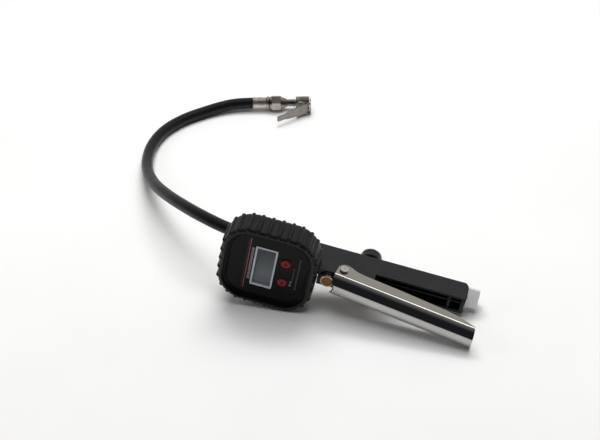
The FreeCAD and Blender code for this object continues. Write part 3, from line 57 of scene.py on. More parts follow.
# ------------------------------------------------------------------ frames
# The tool's own frame (mm): x along the handle to the inlet, y away from the gauge's face, z across
# the handle, origin at the middle of the boot's front rim. It is tipped about Y as the tool lies.
TILT = math.radians(10.467)
ORIGIN = Vector((-73.233, -20.471, 47.071))
TOOL = Matrix.Translation(ORIGIN * MM) @ Matrix.Rotation(TILT, 4, "Y")
CHUCK_AT = Vector((-163.433, 293.829, 8.7))
CHUCK = Matrix.Translation(CHUCK_AT * MM) @ Matrix.Rotation(math.radians(12.28), 4, "Z")


def tool(x, y, z):
    return TOOL @ Vector((x * MM, y * MM, z * MM))


# ------------------------------------------------------------------ camera
AZ, EL, ROLL = math.radians(12.979), math.radians(38.802), -0.015726
back = Vector((math.sin(AZ) * math.cos(EL), -math.cos(AZ) * math.cos(EL), math.sin(EL)))
right = Vector((math.cos(AZ), math.sin(AZ), 0.0))
up = back.cross(right)
r2 = right * math.cos(ROLL) + up * math.sin(ROLL)
u2 = -right * math.sin(ROLL) + up * math.cos(ROLL)
cam_data = bpy.data.cameras.new("camera")
cam = bpy.data.objects.new("camera", cam_data)
scene.collection.objects.link(cam)
m = Matrix((
    (r2.x, u2.x, back.x, 0.0),
    (r2.y, u2.y, back.y, 0.0),
    (r2.z, u2.z, back.z, 0.0),
    (0.0, 0.0, 0.0, 1.0),
))
cam.matrix_world = Matrix.Translation((Vector((266.6, -1015.1, 903.0)) + ORIGIN) * MM) @ m
cam_data.sensor_width = 36.0
cam_data.lens = 1522.8 * 36.0 / 600.0
cam_data.clip_start = 0.05
cam_data.clip_end = 20.0
scene.camera = cam


# ------------------------------------------------------------------ node helpers
class Nodes:
    """Small helper to lay out a material's nodes."""

    def __init__(self, name):
        self.mat = bpy.data.materials.new(name)
        self.mat.use_nodes = True
        self.t = self.mat.node_tree
        self.t.nodes.clear()
        self.out = self.t.nodes.new("ShaderNodeOutputMaterial")
        self.bsdf = self.t.nodes.new("ShaderNodeBsdfPrincipled")
        self.t.links.new(self.bsdf.outputs[0], self.out.inputs[0])
        self.coord = self.t.nodes.new("ShaderNodeTexCoord")

    def new(self, kind, **inputs):
        n = self.t.nodes.new(kind)
        for k, v in inputs.items():
            if k in n.inputs:
                if isinstance(v, bpy.types.NodeSocket):
                    self.t.links.new(v, n.inputs[k])
                else:
                    n.inputs[k].default_value = v
        return n

    def link(self, a, b):
        self.t.links.new(a, b)

    def noise(self, scale, detail=4.0, rough=0.55, stretch=(1, 1, 1), turn=(0, 0, 0), where=None):
        mp = self.t.nodes.new("ShaderNodeMapping")
        mp.inputs["Scale"].default_value = stretch
        mp.inputs["Rotation"].default_value = turn
        self.link(where or self.coord.outputs["Object"], mp.inputs["Vector"])
        n = self.t.nodes.new("ShaderNodeTexNoise")
        n.inputs["Scale"].default_value = scale
        n.inputs["Detail"].default_value = detail
        n.inputs["Roughness"].default_value = rough
        self.link(mp.outputs[0], n.inputs["Vector"])
        return n.outputs["Fac"]

    def ramp(self, fac, stops):
        r = self.t.nodes.new("ShaderNodeValToRGB")
        e = r.color_ramp.elements
        while len(e) < len(stops):
            e.new(0.5)
        for el, (p, c) in zip(e, stops):
            el.position = p
            el.color = (c[0], c[1], c[2], 1.0) if len(c) == 3 else c
        self.link(fac, r.inputs[0])
        return r.outputs[0]

    def remap(self, fac, a, b, c, d):
        r = self.t.nodes.new("ShaderNodeMapRange")
        for k, v in zip(("From Min", "From Max", "To Min", "To Max"), (a, b, c, d)):
            r.inputs[k].default_value = v
        self.link(fac, r.inputs["Value"])
        return r.outputs[0]

    def math(self, op, a, b=None):
        n = self.t.nodes.new("ShaderNodeMath")
        n.operation = op
        for i, v in enumerate((a, b)):
            if v is None:
                continue
            if isinstance(v, bpy.types.NodeSocket):
                self.link(v, n.inputs[i])
            else:
                n.inputs[i].default_value = v
        return n.outputs[0]

    def mix(self, fac, a, b):
        n = self.t.nodes.new("ShaderNodeMix")
        n.data_type = "RGBA"
        for sock, v in ((n.inputs[0], fac), (n.inputs[6], a), (n.inputs[7], b)):
            if isinstance(v, bpy.types.NodeSocket):
                self.link(v, sock)
            elif sock == n.inputs[0]:
                sock.default_value = v
            else:
                sock.default_value = (v[0], v[1], v[2], 1.0)
        return n.outputs[2]

    def bump(self, height, strength, distance, normal=None):
        b = self.t.nodes.new("ShaderNodeBump")
        b.inputs["Strength"].default_value = strength
        b.inputs["Distance"].default_value = distance
        self.link(height, b.inputs["Height"])
        if normal is not None:
            self.link(normal, b.inputs["Normal"])
        return b.outputs[0]

    def set(self, **kw):
        names = {
            "color": "Base Color", "metal": "Metallic", "rough": "Roughness", "ior": "IOR",
            "coat": "Coat Weight", "coat_rough": "Coat Roughness", "sheen": "Sheen Weight",
            "sheen_rough": "Sheen Roughness", "spec": "Specular IOR Level", "normal": "Normal",
            "trans": "Transmission Weight", "alpha": "Alpha", "aniso": "Anisotropic",
        }
        for k, v in kw.items():
            sock = self.bsdf.inputs[names[k]]
            if isinstance(v, bpy.types.NodeSocket):
                self.link(v, sock)
            elif k == "color":
                sock.default_value = (v[0], v[1], v[2], 1.0)
            else:
                sock.default_value = v
        return self.mat


def shade(c, f):
    return tuple(min(1.0, x * f) for x in c)


def rubber(name, c, rough=0.5, grain=2600.0, bump=0.25, dust=0.5, spec=0.35):
    n = Nodes(name)
    big = n.noise(55.0, 5.0, 0.6)
    fine = n.noise(grain, 3.0, 0.6)
    col = n.ramp(big, [(0.3, shade(c, 0.75)), (0.62, c), (0.9, shade(c, 1.0 + dust))])
    ro = n.remap(n.noise(160.0, 4.0, 0.6), 0.3, 0.7, rough - 0.07, rough + 0.08)
    return n.set(color=col, rough=ro, spec=spec, normal=n.bump(fine, bump, 0.0001))


def plastic(name, c, rough=0.45, grain=3500.0, bump=0.2, coat=0.0, spec=0.5):
    n = Nodes(name)
    big = n.noise(90.0, 4.0, 0.55)
    col = n.ramp(big, [(0.3, shade(c, 0.85)), (0.7, shade(c, 1.12))])
    ro = n.remap(n.noise(240.0, 4.0, 0.6), 0.3, 0.7, rough - 0.05, rough + 0.06)
    m_ = n.set(color=col, rough=ro, spec=spec, normal=n.bump(n.noise(grain, 2.0, 0.5), bump, 0.00006))
    if coat:
        n.set(coat=coat, coat_rough=0.06)
    return m_


def metal(name, c, rough=0.18, smear=0.05, scratch=(1, 1, 1), bump=0.05, stain=0.9, scale=180.0):
    n = Nodes(name)
    col = n.ramp(n.noise(60.0, 5.0, 0.6), [(0.3, shade(c, stain)), (0.65, c)])
    streak = n.noise(scale, 4.0, 0.6, stretch=scratch)
    ro = n.remap(streak, 0.3, 0.75, max(0.02, rough - smear), rough + smear)
    return n.set(color=col, metal=1.0, rough=ro, normal=n.bump(streak, bump, 0.00002))


MAT = {}
MAT["casting_black"] = None
n = Nodes("casting_paint")
orange = n.noise(900.0, 3.0, 0.5)
col = n.ramp(n.noise(45.0, 5.0, 0.6), [(0.3, (0.0095, 0.0105, 0.0125)), (0.62, (0.0130, 0.0140, 0.0170)), (0.9, (0.019, 0.020, 0.023))])
ro = n.remap(n.noise(120.0, 4.0, 0.6), 0.3, 0.7, 0.40, 0.54)
MAT["casting_black"] = n.set(color=col, rough=ro, spec=0.30, normal=n.bump(orange, 0.3, 0.00012))
MAT["lever_chrome"] = metal("chrome_plate", (0.44, 0.43, 0.415), 0.07, 0.03, (1, 1, 1), 0.02, 0.93, 90.0)
n = Nodes("nickel_steel")
fine = n.noise(1900.0, 3.0, 0.5)
MAT["inlet_steel"] = n.set(color=n.ramp(n.noise(130.0, 4.0, 0.5), [(0.3, (0.70, 0.70, 0.715)), (0.7, (0.80, 0.80, 0.81))]), metal=0.4,
                           rough=n.remap(fine, 0.3, 0.7, 0.27, 0.36), normal=n.bump(fine, 0.05, 0.00001))
MAT["chuck_nickel"] = metal("satin_nickel", (0.46, 0.43, 0.385), 0.34, 0.09, (1, 1, 1), 0.12, 0.72, 260.0)
MAT["plain_steel"] = metal("bare_steel", (0.50, 0.50, 0.51), 0.30, 0.08)
MAT["spring_steel"] = metal("spring_wire", (0.42, 0.42, 0.43), 0.32, 0.08)
MAT["button_brass"] = metal("turned_brass", (0.44, 0.25, 0.10), 0.22, 0.08, (1, 1, 1), 0.06, 0.75, 300.0)
MAT["inner_brass"] = metal("brass", (0.62, 0.43, 0.18), 0.25, 0.08)
# The collar is coloured near-black as painted shade: it stands for the shadowed gap round the bleed button.
MAT["collar_dark"] = metal("collar_dark_painted_shade", (0.06, 0.055, 0.05), 0.38, 0.08)
MAT["boot_rubber"] = rubber("boot_rubber", (0.0062, 0.0068, 0.0080), 0.40, 2400.0, 0.3, 0.5, 0.26)
MAT["hose_rubber"] = rubber("hose_rubber", (0.0066, 0.0074, 0.0090), 0.36, 1800.0, 0.15, 0.3, 0.24)
MAT["seal_rubber"] = rubber("seal_rubber", (0.014, 0.014, 0.015), 0.5)
MAT["case_black"] = plastic("case_plastic", (0.0040, 0.0042, 0.0046), 0.40, 3000.0, 0.35, 0.0, 0.12)
MAT["face_black"] = plastic("face_overlay", (0.0035, 0.0038, 0.004), 0.20, 1500.0, 0.03, 0.0, 0.10)
MAT["lcd_silver"] = plastic("lcd_frame_paint", (0.60, 0.60, 0.68), 0.34, 3000.0, 0.1, 0.0, 0.4)
MAT["button_red"] = plastic("button_silicone", (0.36, 0.010, 0.010), 0.40, 2200.0, 0.2, 0.0, 0.2)
MAT["ring_red"] = plastic("ring_plastic", (0.060, 0.006, 0.006), 0.36, 2200.0, 0.2, 0.0, 0.2)


def radial(n, cx, cz):
    """Distance in mm from a line along Y through a point of the tool's face."""
    c = tool(cx, 0.0, cz)
    sp_ = n.new("ShaderNodeSeparateXYZ")
    n.link(n.coord.outputs["Object"], sp_.inputs[0])
    dx = n.math("SUBTRACT", sp_.outputs["X"], c.x)
    dz = n.math("SUBTRACT", sp_.outputs["Z"], c.z)
    rr = n.math("SQRT", n.math("ADD", n.math("MULTIPLY", dx, dx), n.math("MULTIPLY", dz, dz)))
    return n.math("MULTIPLY", rr, 1000.0)


def button_mat(name, cz):
    n = Nodes(name)
    d = n.math("ADD", radial(n, 16.2, cz), n.remap(n.noise(900.0, 3.0), 0.3, 0.7, -0.12, 0.12))
    f = n.remap(d, 0.0, 6.0, 0.0, 1.0)
    col = n.ramp(f, [(0.0, (0.180, 0.0025, 0.0032)), (0.30, (0.185, 0.0025, 0.0032)), (0.40, (0.235, 0.034, 0.042)),
                     (0.62, (0.250, 0.038, 0.046)), (0.80, (0.110, 0.010, 0.012))])
    ro = n.remap(n.noise(300.0, 4.0), 0.3, 0.7, 0.36, 0.46)
    return n.set(color=col, rough=ro, spec=0.08, normal=n.bump(n.noise(2200.0, 2.0), 0.15, 0.00006))




def chuck_axis(n):
    """Distance in mm along the chuck's own axis."""
    q = n.new("ShaderNodeSeparateXYZ")
    n.link(n.coord.outputs["Object"], q.inputs[0])
    th = math.radians(12.28)
    ax = n.math("MULTIPLY", n.math("SUBTRACT", q.outputs["X"], CHUCK_AT.x * MM), math.cos(th))
    ay = n.math("MULTIPLY", n.math("SUBTRACT", q.outputs["Y"], CHUCK_AT.y * MM), math.sin(th))
    return n.math("MULTIPLY", n.math("ADD", ax, ay), 1000.0)


n = Nodes("chuck_head_nickel")
along = chuck_axis(n)
wave = n.math("SINE", n.math("MULTIPLY", along, 5.2))
zone = n.math("MULTIPLY", n.remap(along, 50.0, 50.6, 0.0, 1.0), n.remap(along, 59.6, 60.2, 1.0, 0.0))
grooves = n.math("MULTIPLY", wave, zone)
blotch = n.noise(240.0, 5.0, 0.6)
base_c = n.ramp(blotch, [(0.3, (0.25, 0.235, 0.21)), (0.65, (0.38, 0.36, 0.325))])
# Groove colour: painted shade in the troughs and painted highlight on the crests, on top of the bump.
groove_shade_and_highlight_c = n.ramp(n.remap(grooves, -1.0, 1.0, 0.0, 1.0), [(0.2, (0.13, 0.12, 0.11)), (0.55, (0.30, 0.285, 0.26)), (0.95, (0.42, 0.40, 0.36))])
CHUCK_BODY = n.set(color=n.mix(zone, base_c, groove_shade_and_highlight_c), metal=1.0, rough=n.remap(n.noise(420.0, 4.0), 0.3, 0.7, 0.30, 0.46),
                   normal=n.bump(grooves, 0.6, 0.0003))
CLIP = metal("clip_steel", (0.29, 0.275, 0.25), 0.40, 0.08, (1, 1, 1), 0.15, 0.7, 300.0)
PIN = metal("pin_nickel", (0.66, 0.65, 0.63), 0.38, 0.06, (1, 1, 1), 0.06, 0.85, 300.0)
FERRULE = metal("ferrule_nickel", (0.68, 0.64, 0.58), 0.50, 0.08, (1, 1, 1), 0.12, 0.74, 260.0)
BUTTONS = {"lever_pin": PIN, "chuck_ferrule": FERRULE, "power_button": button_mat("power_silicone", 11.4), "unit_button": button_mat("unit_silicone", -11.4),
           "chuck_body": CHUCK_BODY, "chuck_lever": CLIP}
n = Nodes("turned_brass_button")
bc = tool(55.6, 0.0, 0.0)
sp2 = n.new("ShaderNodeSeparateXYZ")
n.link(n.coord.outputs["Object"], sp2.inputs[0])
bdx = n.math("SUBTRACT", sp2.outputs["X"], bc.x)
bdz = n.math("SUBTRACT", sp2.outputs["Z"], bc.z)
brr = n.math("MULTIPLY", n.math("SQRT", n.math("ADD", n.math("MULTIPLY", bdx, bdx), n.math("MULTIPLY", bdz, bdz))), 1000.0)
bf = n.remap(n.math("ADD", brr, n.remap(n.noise(700.0, 4.0), 0.3, 0.7, -0.25, 0.25)), 0.0, 8.0, 0.0, 1.0)
rings = n.math("SINE", n.math("MULTIPLY", brr, 16.0))
bcol = n.ramp(bf, [(0.0, (0.150, 0.078, 0.036)), (0.50, (0.175, 0.093, 0.043)), (0.60, (0.09, 0.050, 0.025)),
                   (0.70, (0.48, 0.38, 0.26)), (0.90, (0.66, 0.57, 0.45))])
MAT["button_brass"] = n.set(color=bcol, metal=1.0, rough=n.remap(n.noise(500.0, 4.0), 0.3, 0.7, 0.24, 0.38),
                            normal=n.bump(rings, 0.12, 0.00003))
MAT["nylon"] = plastic("nylon", (0.62, 0.60, 0.54), 0.45)
MAT["switch_black"] = plastic("switch_plastic", (0.02, 0.02, 0.02), 0.5)
MAT["board_green"] = plastic("solder_mask", (0.01, 0.09, 0.03), 0.3, 900.0, 0.2)
MAT["sensor_steel"] = metal("stamped_steel", (0.52, 0.52, 0.53), 0.25, 0.08)

n = Nodes("lcd_glass")
sep = n.new("ShaderNodeSeparateXYZ")
n.link(n.coord.outputs["Object"], sep.inputs[0])
# Painted light: the LCD is lighter at the bottom and shades darker towards the top.
painted_light_grad = n.remap(sep.outputs["Z"], 0.023, 0.072, 0.0, 1.0)
col = n.ramp(painted_light_grad, [(0.0, (0.165, 0.180, 0.215)), (0.35, (0.170, 0.190, 0.200)), (0.7, (0.095, 0.110, 0.115)), (1.0, (0.050, 0.058, 0.066))])
grid = n.noise(1500.0, 2.0, 0.5)
MAT["lcd_grey"] = n.set(color=col, rough=n.remap(grid, 0.3, 0.7, 0.32, 0.42), spec=0.15,
                        normal=n.bump(grid, 0.03, 0.00002))

n = Nodes("clear_window")
smudge = n.noise(140.0, 4.0, 0.6)
MAT["clear_window"] = n.set(color=n.ramp(smudge, [(0.3, (0.95, 0.96, 0.96)), (0.8, (0.90, 0.92, 0.92))]),
                            rough=n.remap(smudge, 0.3, 0.7, 0.05, 0.12), trans=1.0, ior=1.18, alpha=0.18)

SLOT = {s["node"]: s["material_slot"] for s in frame["record"]["subparts"]}


def dress(obj, mat):
    obj.data.materials.clear()
    obj.data.materials.append(mat)


for name, ob in frame["nodes"].items():
    mat = BUTTONS.get(name) or MAT[SLOT[name]]
    for sl in ob.material_slots:
        sl.material = mat
    if not ob.material_slots:
        ob.data.materials.append(mat)


def soften(node, width, segments=2, angle=40):
    """Small rounded edges on a CAD piece, by modifier only."""
    ob = frame["nodes"][node]
    b = ob.modifiers.new("edge", "BEVEL")
    b.width = width * MM
    b.segments = segments
    b.limit_method = "ANGLE"
    b.angle_limit = math.radians(angle)
    b.harden_normals = True
    b.use_clamp_overlap = True
    return b


# ------------------------------------------------------------------ mesh helpers
def mesh_object(name, verts, faces, mat, body, smooth=True, mm=True, frame_matrix=None):
    me = bpy.data.meshes.new(name)
    k = MM if mm else 1.0
    pts = [Vector(v) * k for v in verts]
    if frame_matrix is not None:
        pts = [frame_matrix @ p for p in pts]
    me.from_pydata([tuple(p) for p in pts], [], faces)
    me.validate()
    bm = bmesh.new()
    bm.from_mesh(me)
    bmesh.ops.recalc_face_normals(bm, faces=bm.faces)
    bm.to_mesh(me)
    bm.free()
    for p in me.polygons:
        p.use_smooth = smooth
    ob = bpy.data.objects.new(name, me)
    scene.collection.objects.link(ob)
    me.materials.append(mat)
    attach(ob, body)
    return ob


def sharpen(ob, degrees=35):
    """Smooth shading with crisp edges above an angle."""
    me = ob.data
    bm = bmesh.new()
    bm.from_mesh(me)
    lim = math.radians(degrees)
    for e in bm.edges:
        e.smooth = not (len(e.link_faces) == 2 and e.calc_face_angle(0.0) > lim)
    bm.to_mesh(me)
    bm.free()


def outline(hx, hz, r, count):
    """Points and outward normals round a rounded rectangle, evenly spaced, with distances."""
    sx, sz = hx - r, hz - r
    quarter = math.pi * r / 2
    legs = [2 * sz, quarter, 2 * sx, quarter, 2 * sz, quarter, 2 * sx, quarter]
    total = sum(legs)
    pts = []
    for i in range(count):
        d = total * i / count
        k = 0
        while d > legs[k]:
            d -= legs[k]
            k += 1
        if k == 0:
            p, nn = (hx, -sz + d), (1, 0)
        elif k == 1:
            a = d / r
            nn = (math.cos(a), math.sin(a))
            p = (sx + r * nn[0], sz + r * nn[1])
        elif k == 2:
            p, nn = (sx - d, hz), (0, 1)
        elif k == 3:
            a = math.pi / 2 + d / r
            nn = (math.cos(a), math.sin(a))
            p = (-sx + r * nn[0], sz + r * nn[1])
        elif k == 4:
            p, nn = (-hx, sz - d), (-1, 0)
        elif k == 5:
            a = math.pi + d / r
            nn = (math.cos(a), math.sin(a))
            p = (-sx + r * nn[0], -sz + r * nn[1])
        elif k == 6:
            p, nn = (-sx + d, -hz), (0, -1)
        else:
            a = 1.5 * math.pi + d / r
            nn = (math.cos(a), math.sin(a))
            p = (sx + r * nn[0], -sz + r * nn[1])
        pts.append((p, nn, total * i / count))
    return pts, total


# ------------------------------------------------------------------ hose
ROUTE = [
    (-86.02, 20.53, 49.43), (-104.70, 20.53, 52.88), (-124.73, 24.73, 55.40), (-144.73, 34.53, 55.00),
    (-164.23, 48.73, 51.20), (-184.73, 67.73, 44.20), (-204.23, 90.03, 34.80), (-221.73, 114.03, 24.80),
    (-236.23, 140.53, 15.50), (-246.73, 169.53, 9.00), (-251.03, 200.03, 6.40), (-245.73, 229.03, 6.05),
    (-230.73, 253.33, 6.05), (-211.23, 271.43, 6.20), (-195.03, 282.93, 7.50), (-179.16, 290.41, 8.70),
    (-163.43, 293.83, 8.70),
]
curve = bpy.data.curves.new("hose_line", "CURVE")
curve.dimensions = "3D"
sp = curve.splines.new("NURBS")
sp.points.add(len(ROUTE) - 1)
for pt, co in zip(sp.points, ROUTE):
    pt.co = (co[0] * MM, co[1] * MM, co[2] * MM, 1.0)
sp.order_u = 3
sp.use_endpoint_u = True
sp.resolution_u = 16
curve.bevel_depth = 0.006
curve.bevel_resolution = 10
curve.use_fill_caps = True
hose = bpy.data.objects.new("hose_tube", curve)
scene.collection.objects.link(hose)
curve.materials.append(MAT["hose_rubber"])
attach(hose, "inflator_body")
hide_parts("hose")

# ------------------------------------------------------------------ rubber boot
RIBS = [(4.8, 44.25), (14.3, 44.2), (23.9, 43.45), (33.4, 39.4), (40.1, 32.3), (44.3, 21.7), (45.3, 10.4)]
rib_points = [(sx * x, sz * z) for x, z in RIBS for sx in (1, -1) for sz in (1, -1)] + [(45.35, 0.0), (-45.35, 0.0)]
base, total = outline(43.9, 42.8, 26.5, 900)
rib_at = []
for rx, rz in rib_points:
    best = min(base, key=lambda q: (q[0][0] - rx) ** 2 + (q[0][1] - rz) ** 2)
    rib_at.append(best[2])
PROFILE = [
    (2.25, -2.8), (2.22, -4.2), (1.5, -4.4), (0.75, -4.35), (0.25, -4.05), (0.02, -3.5), (0.0, -2.9), (0.10, -2.3),
    (0.35, -1.7), (0.75, -1.1), (1.3, -0.6), (2.0, -0.22), (2.9, -0.05), (4.0, 0.0), (7.0, 0.0), (11.0, 0.0),
    (15.0, 0.0), (19.0, 0.0), (22.0, 0.0), (23.5, -0.06), (24.6, -0.35), (25.5, -0.95), (26.1, -1.8),
    (26.38, -2.9), (26.38, -4.5), (26.38, -6.2), (26.1, -6.8), (25.4, -6.9), (24.52, -6.9), (24.5, -2.85),
]
verts, faces = [], []
ring = len(PROFILE)
for (p, nn, d) in base:
    near = min(min(abs(d - q), total - abs(d - q)) for q in rib_at)
    w = near / 1.85
    crest = 0.0 if w >= 1 else (1 - w * w) ** 1.0
    # a soft hollow beside each rib
    hollow = -0.38 * math.exp(-((near - 2.35) / 0.65) ** 2)
    for y, off in PROFILE:
        a = min(1.0, max(0.0, (y + 0.05) / 0.75)) * min(1.0, max(0.0, (26.6 - y) / 0.9))
        outer = 1.0 if off > -3.2 else 0.0
        k = a * outer
        k = k * k * (3 - 2 * k)
        o = off + k * (1.5 * crest + hollow)
        yy = y
        if p[0] > 0 and abs(p[1]) < 10.2 and y > 24.5:
            yy = 24.5
        verts.append((p[0] + nn[0] * o, yy, p[1] + nn[1] * o))
count = len(base)
for i in range(count):
    j = (i + 1) % count
    for k in range(ring):
        l = (k + 1) % ring
        faces.append((i * ring + k, i * ring + l, j * ring + l, j * ring + k))
boot = mesh_object("boot_skin", verts, faces, MAT["boot_rubber"], "inflator_body", frame_matrix=TOOL)
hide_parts("rubber_boot")

# ------------------------------------------------------------------ thumb lever of the chuck
CLIP_TURN = Matrix.Rotation(math.radians(32.5), 4, "Z")
CLIP_AT = Vector((51.4, -9.3, 0.0))


def slab(outline_pts, lo, hi, plane, turned_frame=True):
    """A plate: an outline in one plane, extruded between two levels, with eased edges."""
    vv, ff = [], []
    nn = len(outline_pts)
    ease = min(0.18, 0.25 * (hi - lo))
    cxm = sum(q[0] for q in outline_pts) / nn
    cym = sum(q[1] for q in outline_pts) / nn
    for lev_, inset in ((lo, ease), (lo + ease, 0.0), (hi - ease, 0.0), (hi, ease)):
        for a_, b_ in outline_pts:
            d_ = Vector((a_ - cxm, b_ - cym))
            s_ = max(0.0, 1.0 - inset / max(d_.length, 0.5))
            a2, b2 = cxm + d_.x * s_, cym + d_.y * s_
            v = Vector((a2, lev_, b2)) if plane == "xz" else (Vector((a2, b2, lev_)) if plane == "xy" else Vector((lev_, a2, b2)))
            if turned_frame:
                v = CLIP_TURN @ v + CLIP_AT
            vv.append(tuple(v))
    ff.append(tuple(range(nn)))
    ff.append(tuple(range(3 * nn, 4 * nn)))
    for l_ in range(3):
        for i_ in range(nn):
            j_ = (i_ + 1) % nn
            ff.append((l_ * nn + i_, l_ * nn + j_, (l_ + 1) * nn + j_, (l_ + 1) * nn + i_))
    return vv, ff


def many(name, parts, mat, body, matrix):
    vv, ff = [], []
    for a_, b_ in parts:
        k = len(vv)
        vv += a_
        ff += [tuple(i + k for i in f) for f in b_]
    ob = mesh_object(name, vv, ff, mat, body, smooth=False, frame_matrix=matrix)
    return ob


half = [(-32.6, 2.5), (-31.8, 3.1), (-21.6, 3.4), (-20.0, 4.4), (-10.0, 4.9), (-7.6, 6.1), (5.0, 6.1), (6.6, 5.0)]
web = half + [(x, -z) for x, z in reversed(half)]
lips = []
for sgn in (1, -1):
    strip_ = [(-31.6, -5.2), (-20.6, -5.2), (-10.0, -5.2), (-10.0, -4.0), (-20.6, -4.5), (-31.6, -4.7)]
    lo_, hi_ = (2.5, 3.2) if sgn > 0 else (-3.2, -2.5)
    lips.append(slab(strip_, lo_, hi_, "xy"))
    ear_ = [(-8.6, -5.3), (5.6, -5.3), (5.8, -2.0), (4.2, 1.0), (2.2, 2.5), (0.0, 2.85), (-2.2, 2.5), (-3.6, 1.0), (-6.2, -2.4)]
    lo_, hi_ = (5.3, 6.2) if sgn > 0 else (-6.2, -5.3)
    lips.append(slab(ear_, lo_, hi_, "xy"))
    arm = [(55.8, -12.3), (62.9, -12.3), (62.9, -9.6), (60.6, -8.6), (57.0, -8.6)]
    lips.append(slab(arm, lo_, hi_, "xy", False))
    prong = [(-12.3, 3.0 * sgn), (-12.3, 6.2 * sgn), (-3.0, 6.2 * sgn), (-1.0, 5.7 * sgn), (0.8, 4.9 * sgn),
             (-1.4, 4.6 * sgn), (-2.0, 4.5 * sgn), (-3.2, 4.4 * sgn), (-4.0, 4.4 * sgn), (-8.8, 3.6 * sgn)]
    lips.append(slab(prong, 61.9, 62.9, "yz", False))
bridge = [(-12.3, -3.4), (-9.6, -3.4), (-10.4, -1.2), (-10.4, 1.2), (-9.6, 3.4), (-12.3, 3.4)]
lips.append(slab(bridge, 61.9, 62.9, "yz", False))
clip = many("thumb_lever", [slab(web, -6.05, -5.05, "xz")] + lips, CLIP, "chuck_lever", CHUCK)
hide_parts("chuck_lever")

# ------------------------------------------------------------------ spring coils
def coil(name, at_x, y0, y1, radius, wire, turns, mat, node):
    """Closed-end wire coil along the tool's y axis."""
    vv, ff = [], []
    steps, seg = int(28 * turns), 10
    for i in range(steps + 1):
        a = 2 * math.pi * turns * i / steps
        y = y0 + wire + (y1 - y0 - 2 * wire) * i / steps
        c = Vector((at_x + radius * math.cos(a), y, radius * math.sin(a)))
        out = Vector((math.cos(a), 0.0, math.sin(a)))
        for k in range(seg):
            b = 2 * math.pi * k / seg
            vv.append(tuple(c + out * (wire * math.cos(b)) + Vector((0.0, wire * math.sin(b), 0.0))))
    for i in range(steps):
        for k in range(seg):
            l = (k + 1) % seg
            ff.append((i * seg + k, i * seg + l, (i + 1) * seg + l, (i + 1) * seg + k))
    ff.append(tuple(range(seg)))
    ff.append(tuple(range(steps * seg, steps * seg + seg)))
    ob = mesh_object(name, vv, ff, mat, "inflator_body", frame_matrix=TOOL)
    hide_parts(node)
    return ob


for spring_ in (("valve_spring_wire", 88.6, 41.7, 52.9, 3.5, 0.4, 6.0, "valve_spring", "valve_slide", 52.9, 0.69),
                ("bleed_spring_wire", 55.6, 10.25, 13.45, 3.2, 0.32, 2.5, "bleed_spring", "bleed_press", 13.45, 0.5)):
    ob = coil(spring_[0], *spring_[1:7], MAT["spring_steel"], spring_[7])
    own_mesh(ob)
# ------------------------------------------------------------------ print on the face
def ink(name, c, scale=1400.0):
    n = Nodes(name)
    f = n.noise(scale, 4.0, 0.7)
    return n.set(color=n.ramp(f, [(0.25, shade(c, 0.55)), (0.5, c), (0.8, shade(c, 1.2))]),
                 rough=n.remap(f, 0.3, 0.7, 0.38, 0.5), spec=0.2, normal=n.bump(f, 0.1, 0.00003))


def prints(name, boxes, mat, front=4.42, thick=0.06):
    """Thin printed shapes on the face: x0, x1, z0, z1 in the tool's frame."""
    vv, ff = [], []
    for x0, x1, z0, z1 in boxes:
        k = len(vv)
        e_ = min(0.12, 0.3 * (x1 - x0), 0.3 * (z1 - z0))
        vv += [(x0, front + thick, z0), (x1, front + thick, z0), (x1, front + thick, z1), (x0, front + thick, z1),
               (x0 + e_, front, z0 + e_), (x1 - e_, front, z0 + e_), (x1 - e_, front, z1 - e_), (x0 + e_, front, z1 - e_)]
        ff += [(k, k + 1, k + 2, k + 3), (k + 4, k + 5, k + 6, k + 7)]
        ff += [(k + i, k + (i + 1) % 4, k + 4 + (i + 1) % 4, k + 4 + i) for i in range(4)]
    return mesh_object(name, vv, ff, mat, "inflator_body", smooth=False, frame_matrix=TOOL)


prints("face_band", [(-21.2, -18.9, -30.5, 30.5)], ink("band_ink", (0.026, 0.0024, 0.0028), 500.0))
prints("face_line", [(-19.0, -18.4, -30.0, 30.5)], ink("line_ink", (0.42, 0.14, 0.14)), 4.38)
ticks = []
zz = 20.4
for k in range(19):
    ticks.append((-16.9, -14.6 if k % 3 else -14.2, zz - 1.35, zz))
    zz -= 2.05
prints("face_ticks", ticks, ink("tick_ink", (0.31, 0.30, 0.36)))
ticks = []
zz = 20.0
for k in range(17):
    ticks.append((28.0, 29.3 if k % 4 else 29.7, zz - 1.15, zz))
    zz -= 2.2
for k in range(6):
    ticks.append((24.4, 25.2, 6.0 - 3.0 * k, 8.0 - 3.0 * k))
prints("face_marks", ticks, ink("mark_ink", (0.105, 0.105, 0.115)))
prints("face_patch", [(22.6, 24.6, -14.2, -11.6), (23.0, 24.2, -11.3, -7.5)], ink("patch_ink", (0.17, 0.175, 0.20)))

# ------------------------------------------------------------------ edges of the CAD pieces
for node, w in (("handle_casting", 0.5), ("lever", 0.35), ("lever_pin", 0.15), ("inlet_fitting", 0.25),
                ("chuck_body", 0.15), ("swivel_nut", 0.15), ("chuck_barb", 0.15),
                ("chuck_ferrule", 0.2), ("lcd_frame", 0.3), ("front_housing", 0.35), ("rear_housing", 0.3),
                ("face_plate", 0.1), ("rear_valve_cap", 0.2), ("bleed_button", 0.15), ("bleed_collar", 0.12),
                ("gun_ferrule", 0.2), ("hose_barb", 0.2), ("battery_door", 0.2)):
    soften(node, w)

# ------------------------------------------------------------------ floor
n = Nodes("floor_paper")
grain = n.noise(700.0, 4.0, 0.6)
n.set(color=n.ramp(n.noise(6.0, 3.0, 0.5), [(0.3, (0.86, 0.86, 0.86)), (0.7, (0.89, 0.89, 0.89))]), rough=0.75, spec=0.2,
      normal=n.bump(grain, 0.05, 0.0001))
me = bpy.data.meshes.new("floor")
me.from_pydata([(-6, -5, 0), (6, -5, 0), (6, 5, 0), (-6, 5, 0)], [], [(0, 1, 2, 3)])
floor = bpy.data.objects.new("floor", me)
me.materials.append(n.mat)
scene.collection.objects.link(floor)

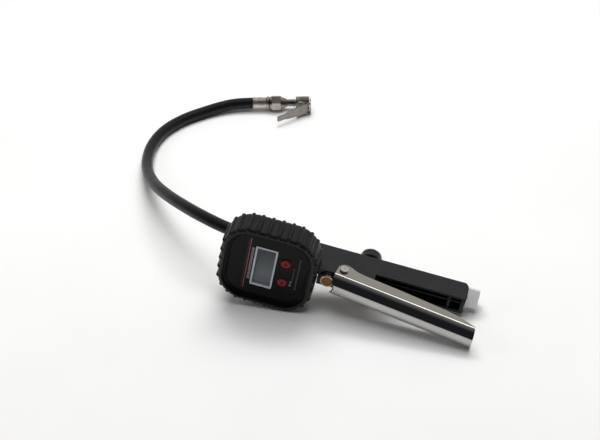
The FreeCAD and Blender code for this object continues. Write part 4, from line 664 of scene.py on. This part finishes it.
# ------------------------------------------------------------------ light
world = bpy.data.worlds.new("studio")
scene.world = world
world.use_nodes = True
wt = world.node_tree
wt.nodes.clear()
wo = wt.nodes.new("ShaderNodeOutputWorld")
bg = wt.nodes.new("ShaderNodeBackground")
tc = wt.nodes.new("ShaderNodeTexCoord")
sepw = wt.nodes.new("ShaderNodeSeparateXYZ")
wt.links.new(tc.outputs["Generated"], sepw.inputs[0])
rampw = wt.nodes.new("ShaderNodeValToRGB")
mr = wt.nodes.new("ShaderNodeMapRange")
mr.inputs["From Min"].default_value = -1.0
mr.inputs["From Max"].default_value = 1.0
wt.links.new(sepw.outputs["Y"], mr.inputs["Value"])
wt.links.new(mr.outputs[0], rampw.inputs[0])
e = rampw.color_ramp.elements
e[0].position, e[0].color = 0.30, (0.03, 0.03, 0.035, 1)
e[1].position, e[1].color = 0.90, (0.86, 0.83, 0.76, 1)
mid = e.new(0.58)
mid.color = (0.30, 0.30, 0.30, 1)
wt.links.new(rampw.outputs[0], bg.inputs[0])
bg.inputs[1].default_value = 0.75
wt.links.new(bg.outputs[0], wo.inputs[0])


def softbox(name, at, look, size, power, color=(1, 1, 1)):
    li = bpy.data.lights.new(name, "AREA")
    li.shape = "RECTANGLE"
    li.size, li.size_y = size
    li.energy = power
    li.color = color
    ob = bpy.data.objects.new(name, li)
    scene.collection.objects.link(ob)
    d = Vector(look) - Vector(at)
    ob.matrix_world = Matrix.Translation(Vector(at)) @ d.to_track_quat("-Z", "Y").to_matrix().to_4x4()
    return ob


fill = [
    softbox("key", (-0.15, 0.75, 1.55), (0.0, 0.05, 0.0), (1.3, 0.7), 16.0),
    softbox("top", (0.0, -0.1, 2.2), (0.0, 0.0, 0.0), (1.2, 1.2), 18.0),
    softbox("left", (-1.6, -0.5, 1.0), (0.0, 0.0, 0.0), (0.8, 0.8), 4.0),
]
for ob in fill:
    ob.visible_glossy = False
softbox("strip", (0.0, 0.80, 1.60), (0.0, 0.0, 0.0), (1.5, 0.16), 3.0)
scene.view_settings.view_transform = "Standard"
scene.view_settings.look = "None"
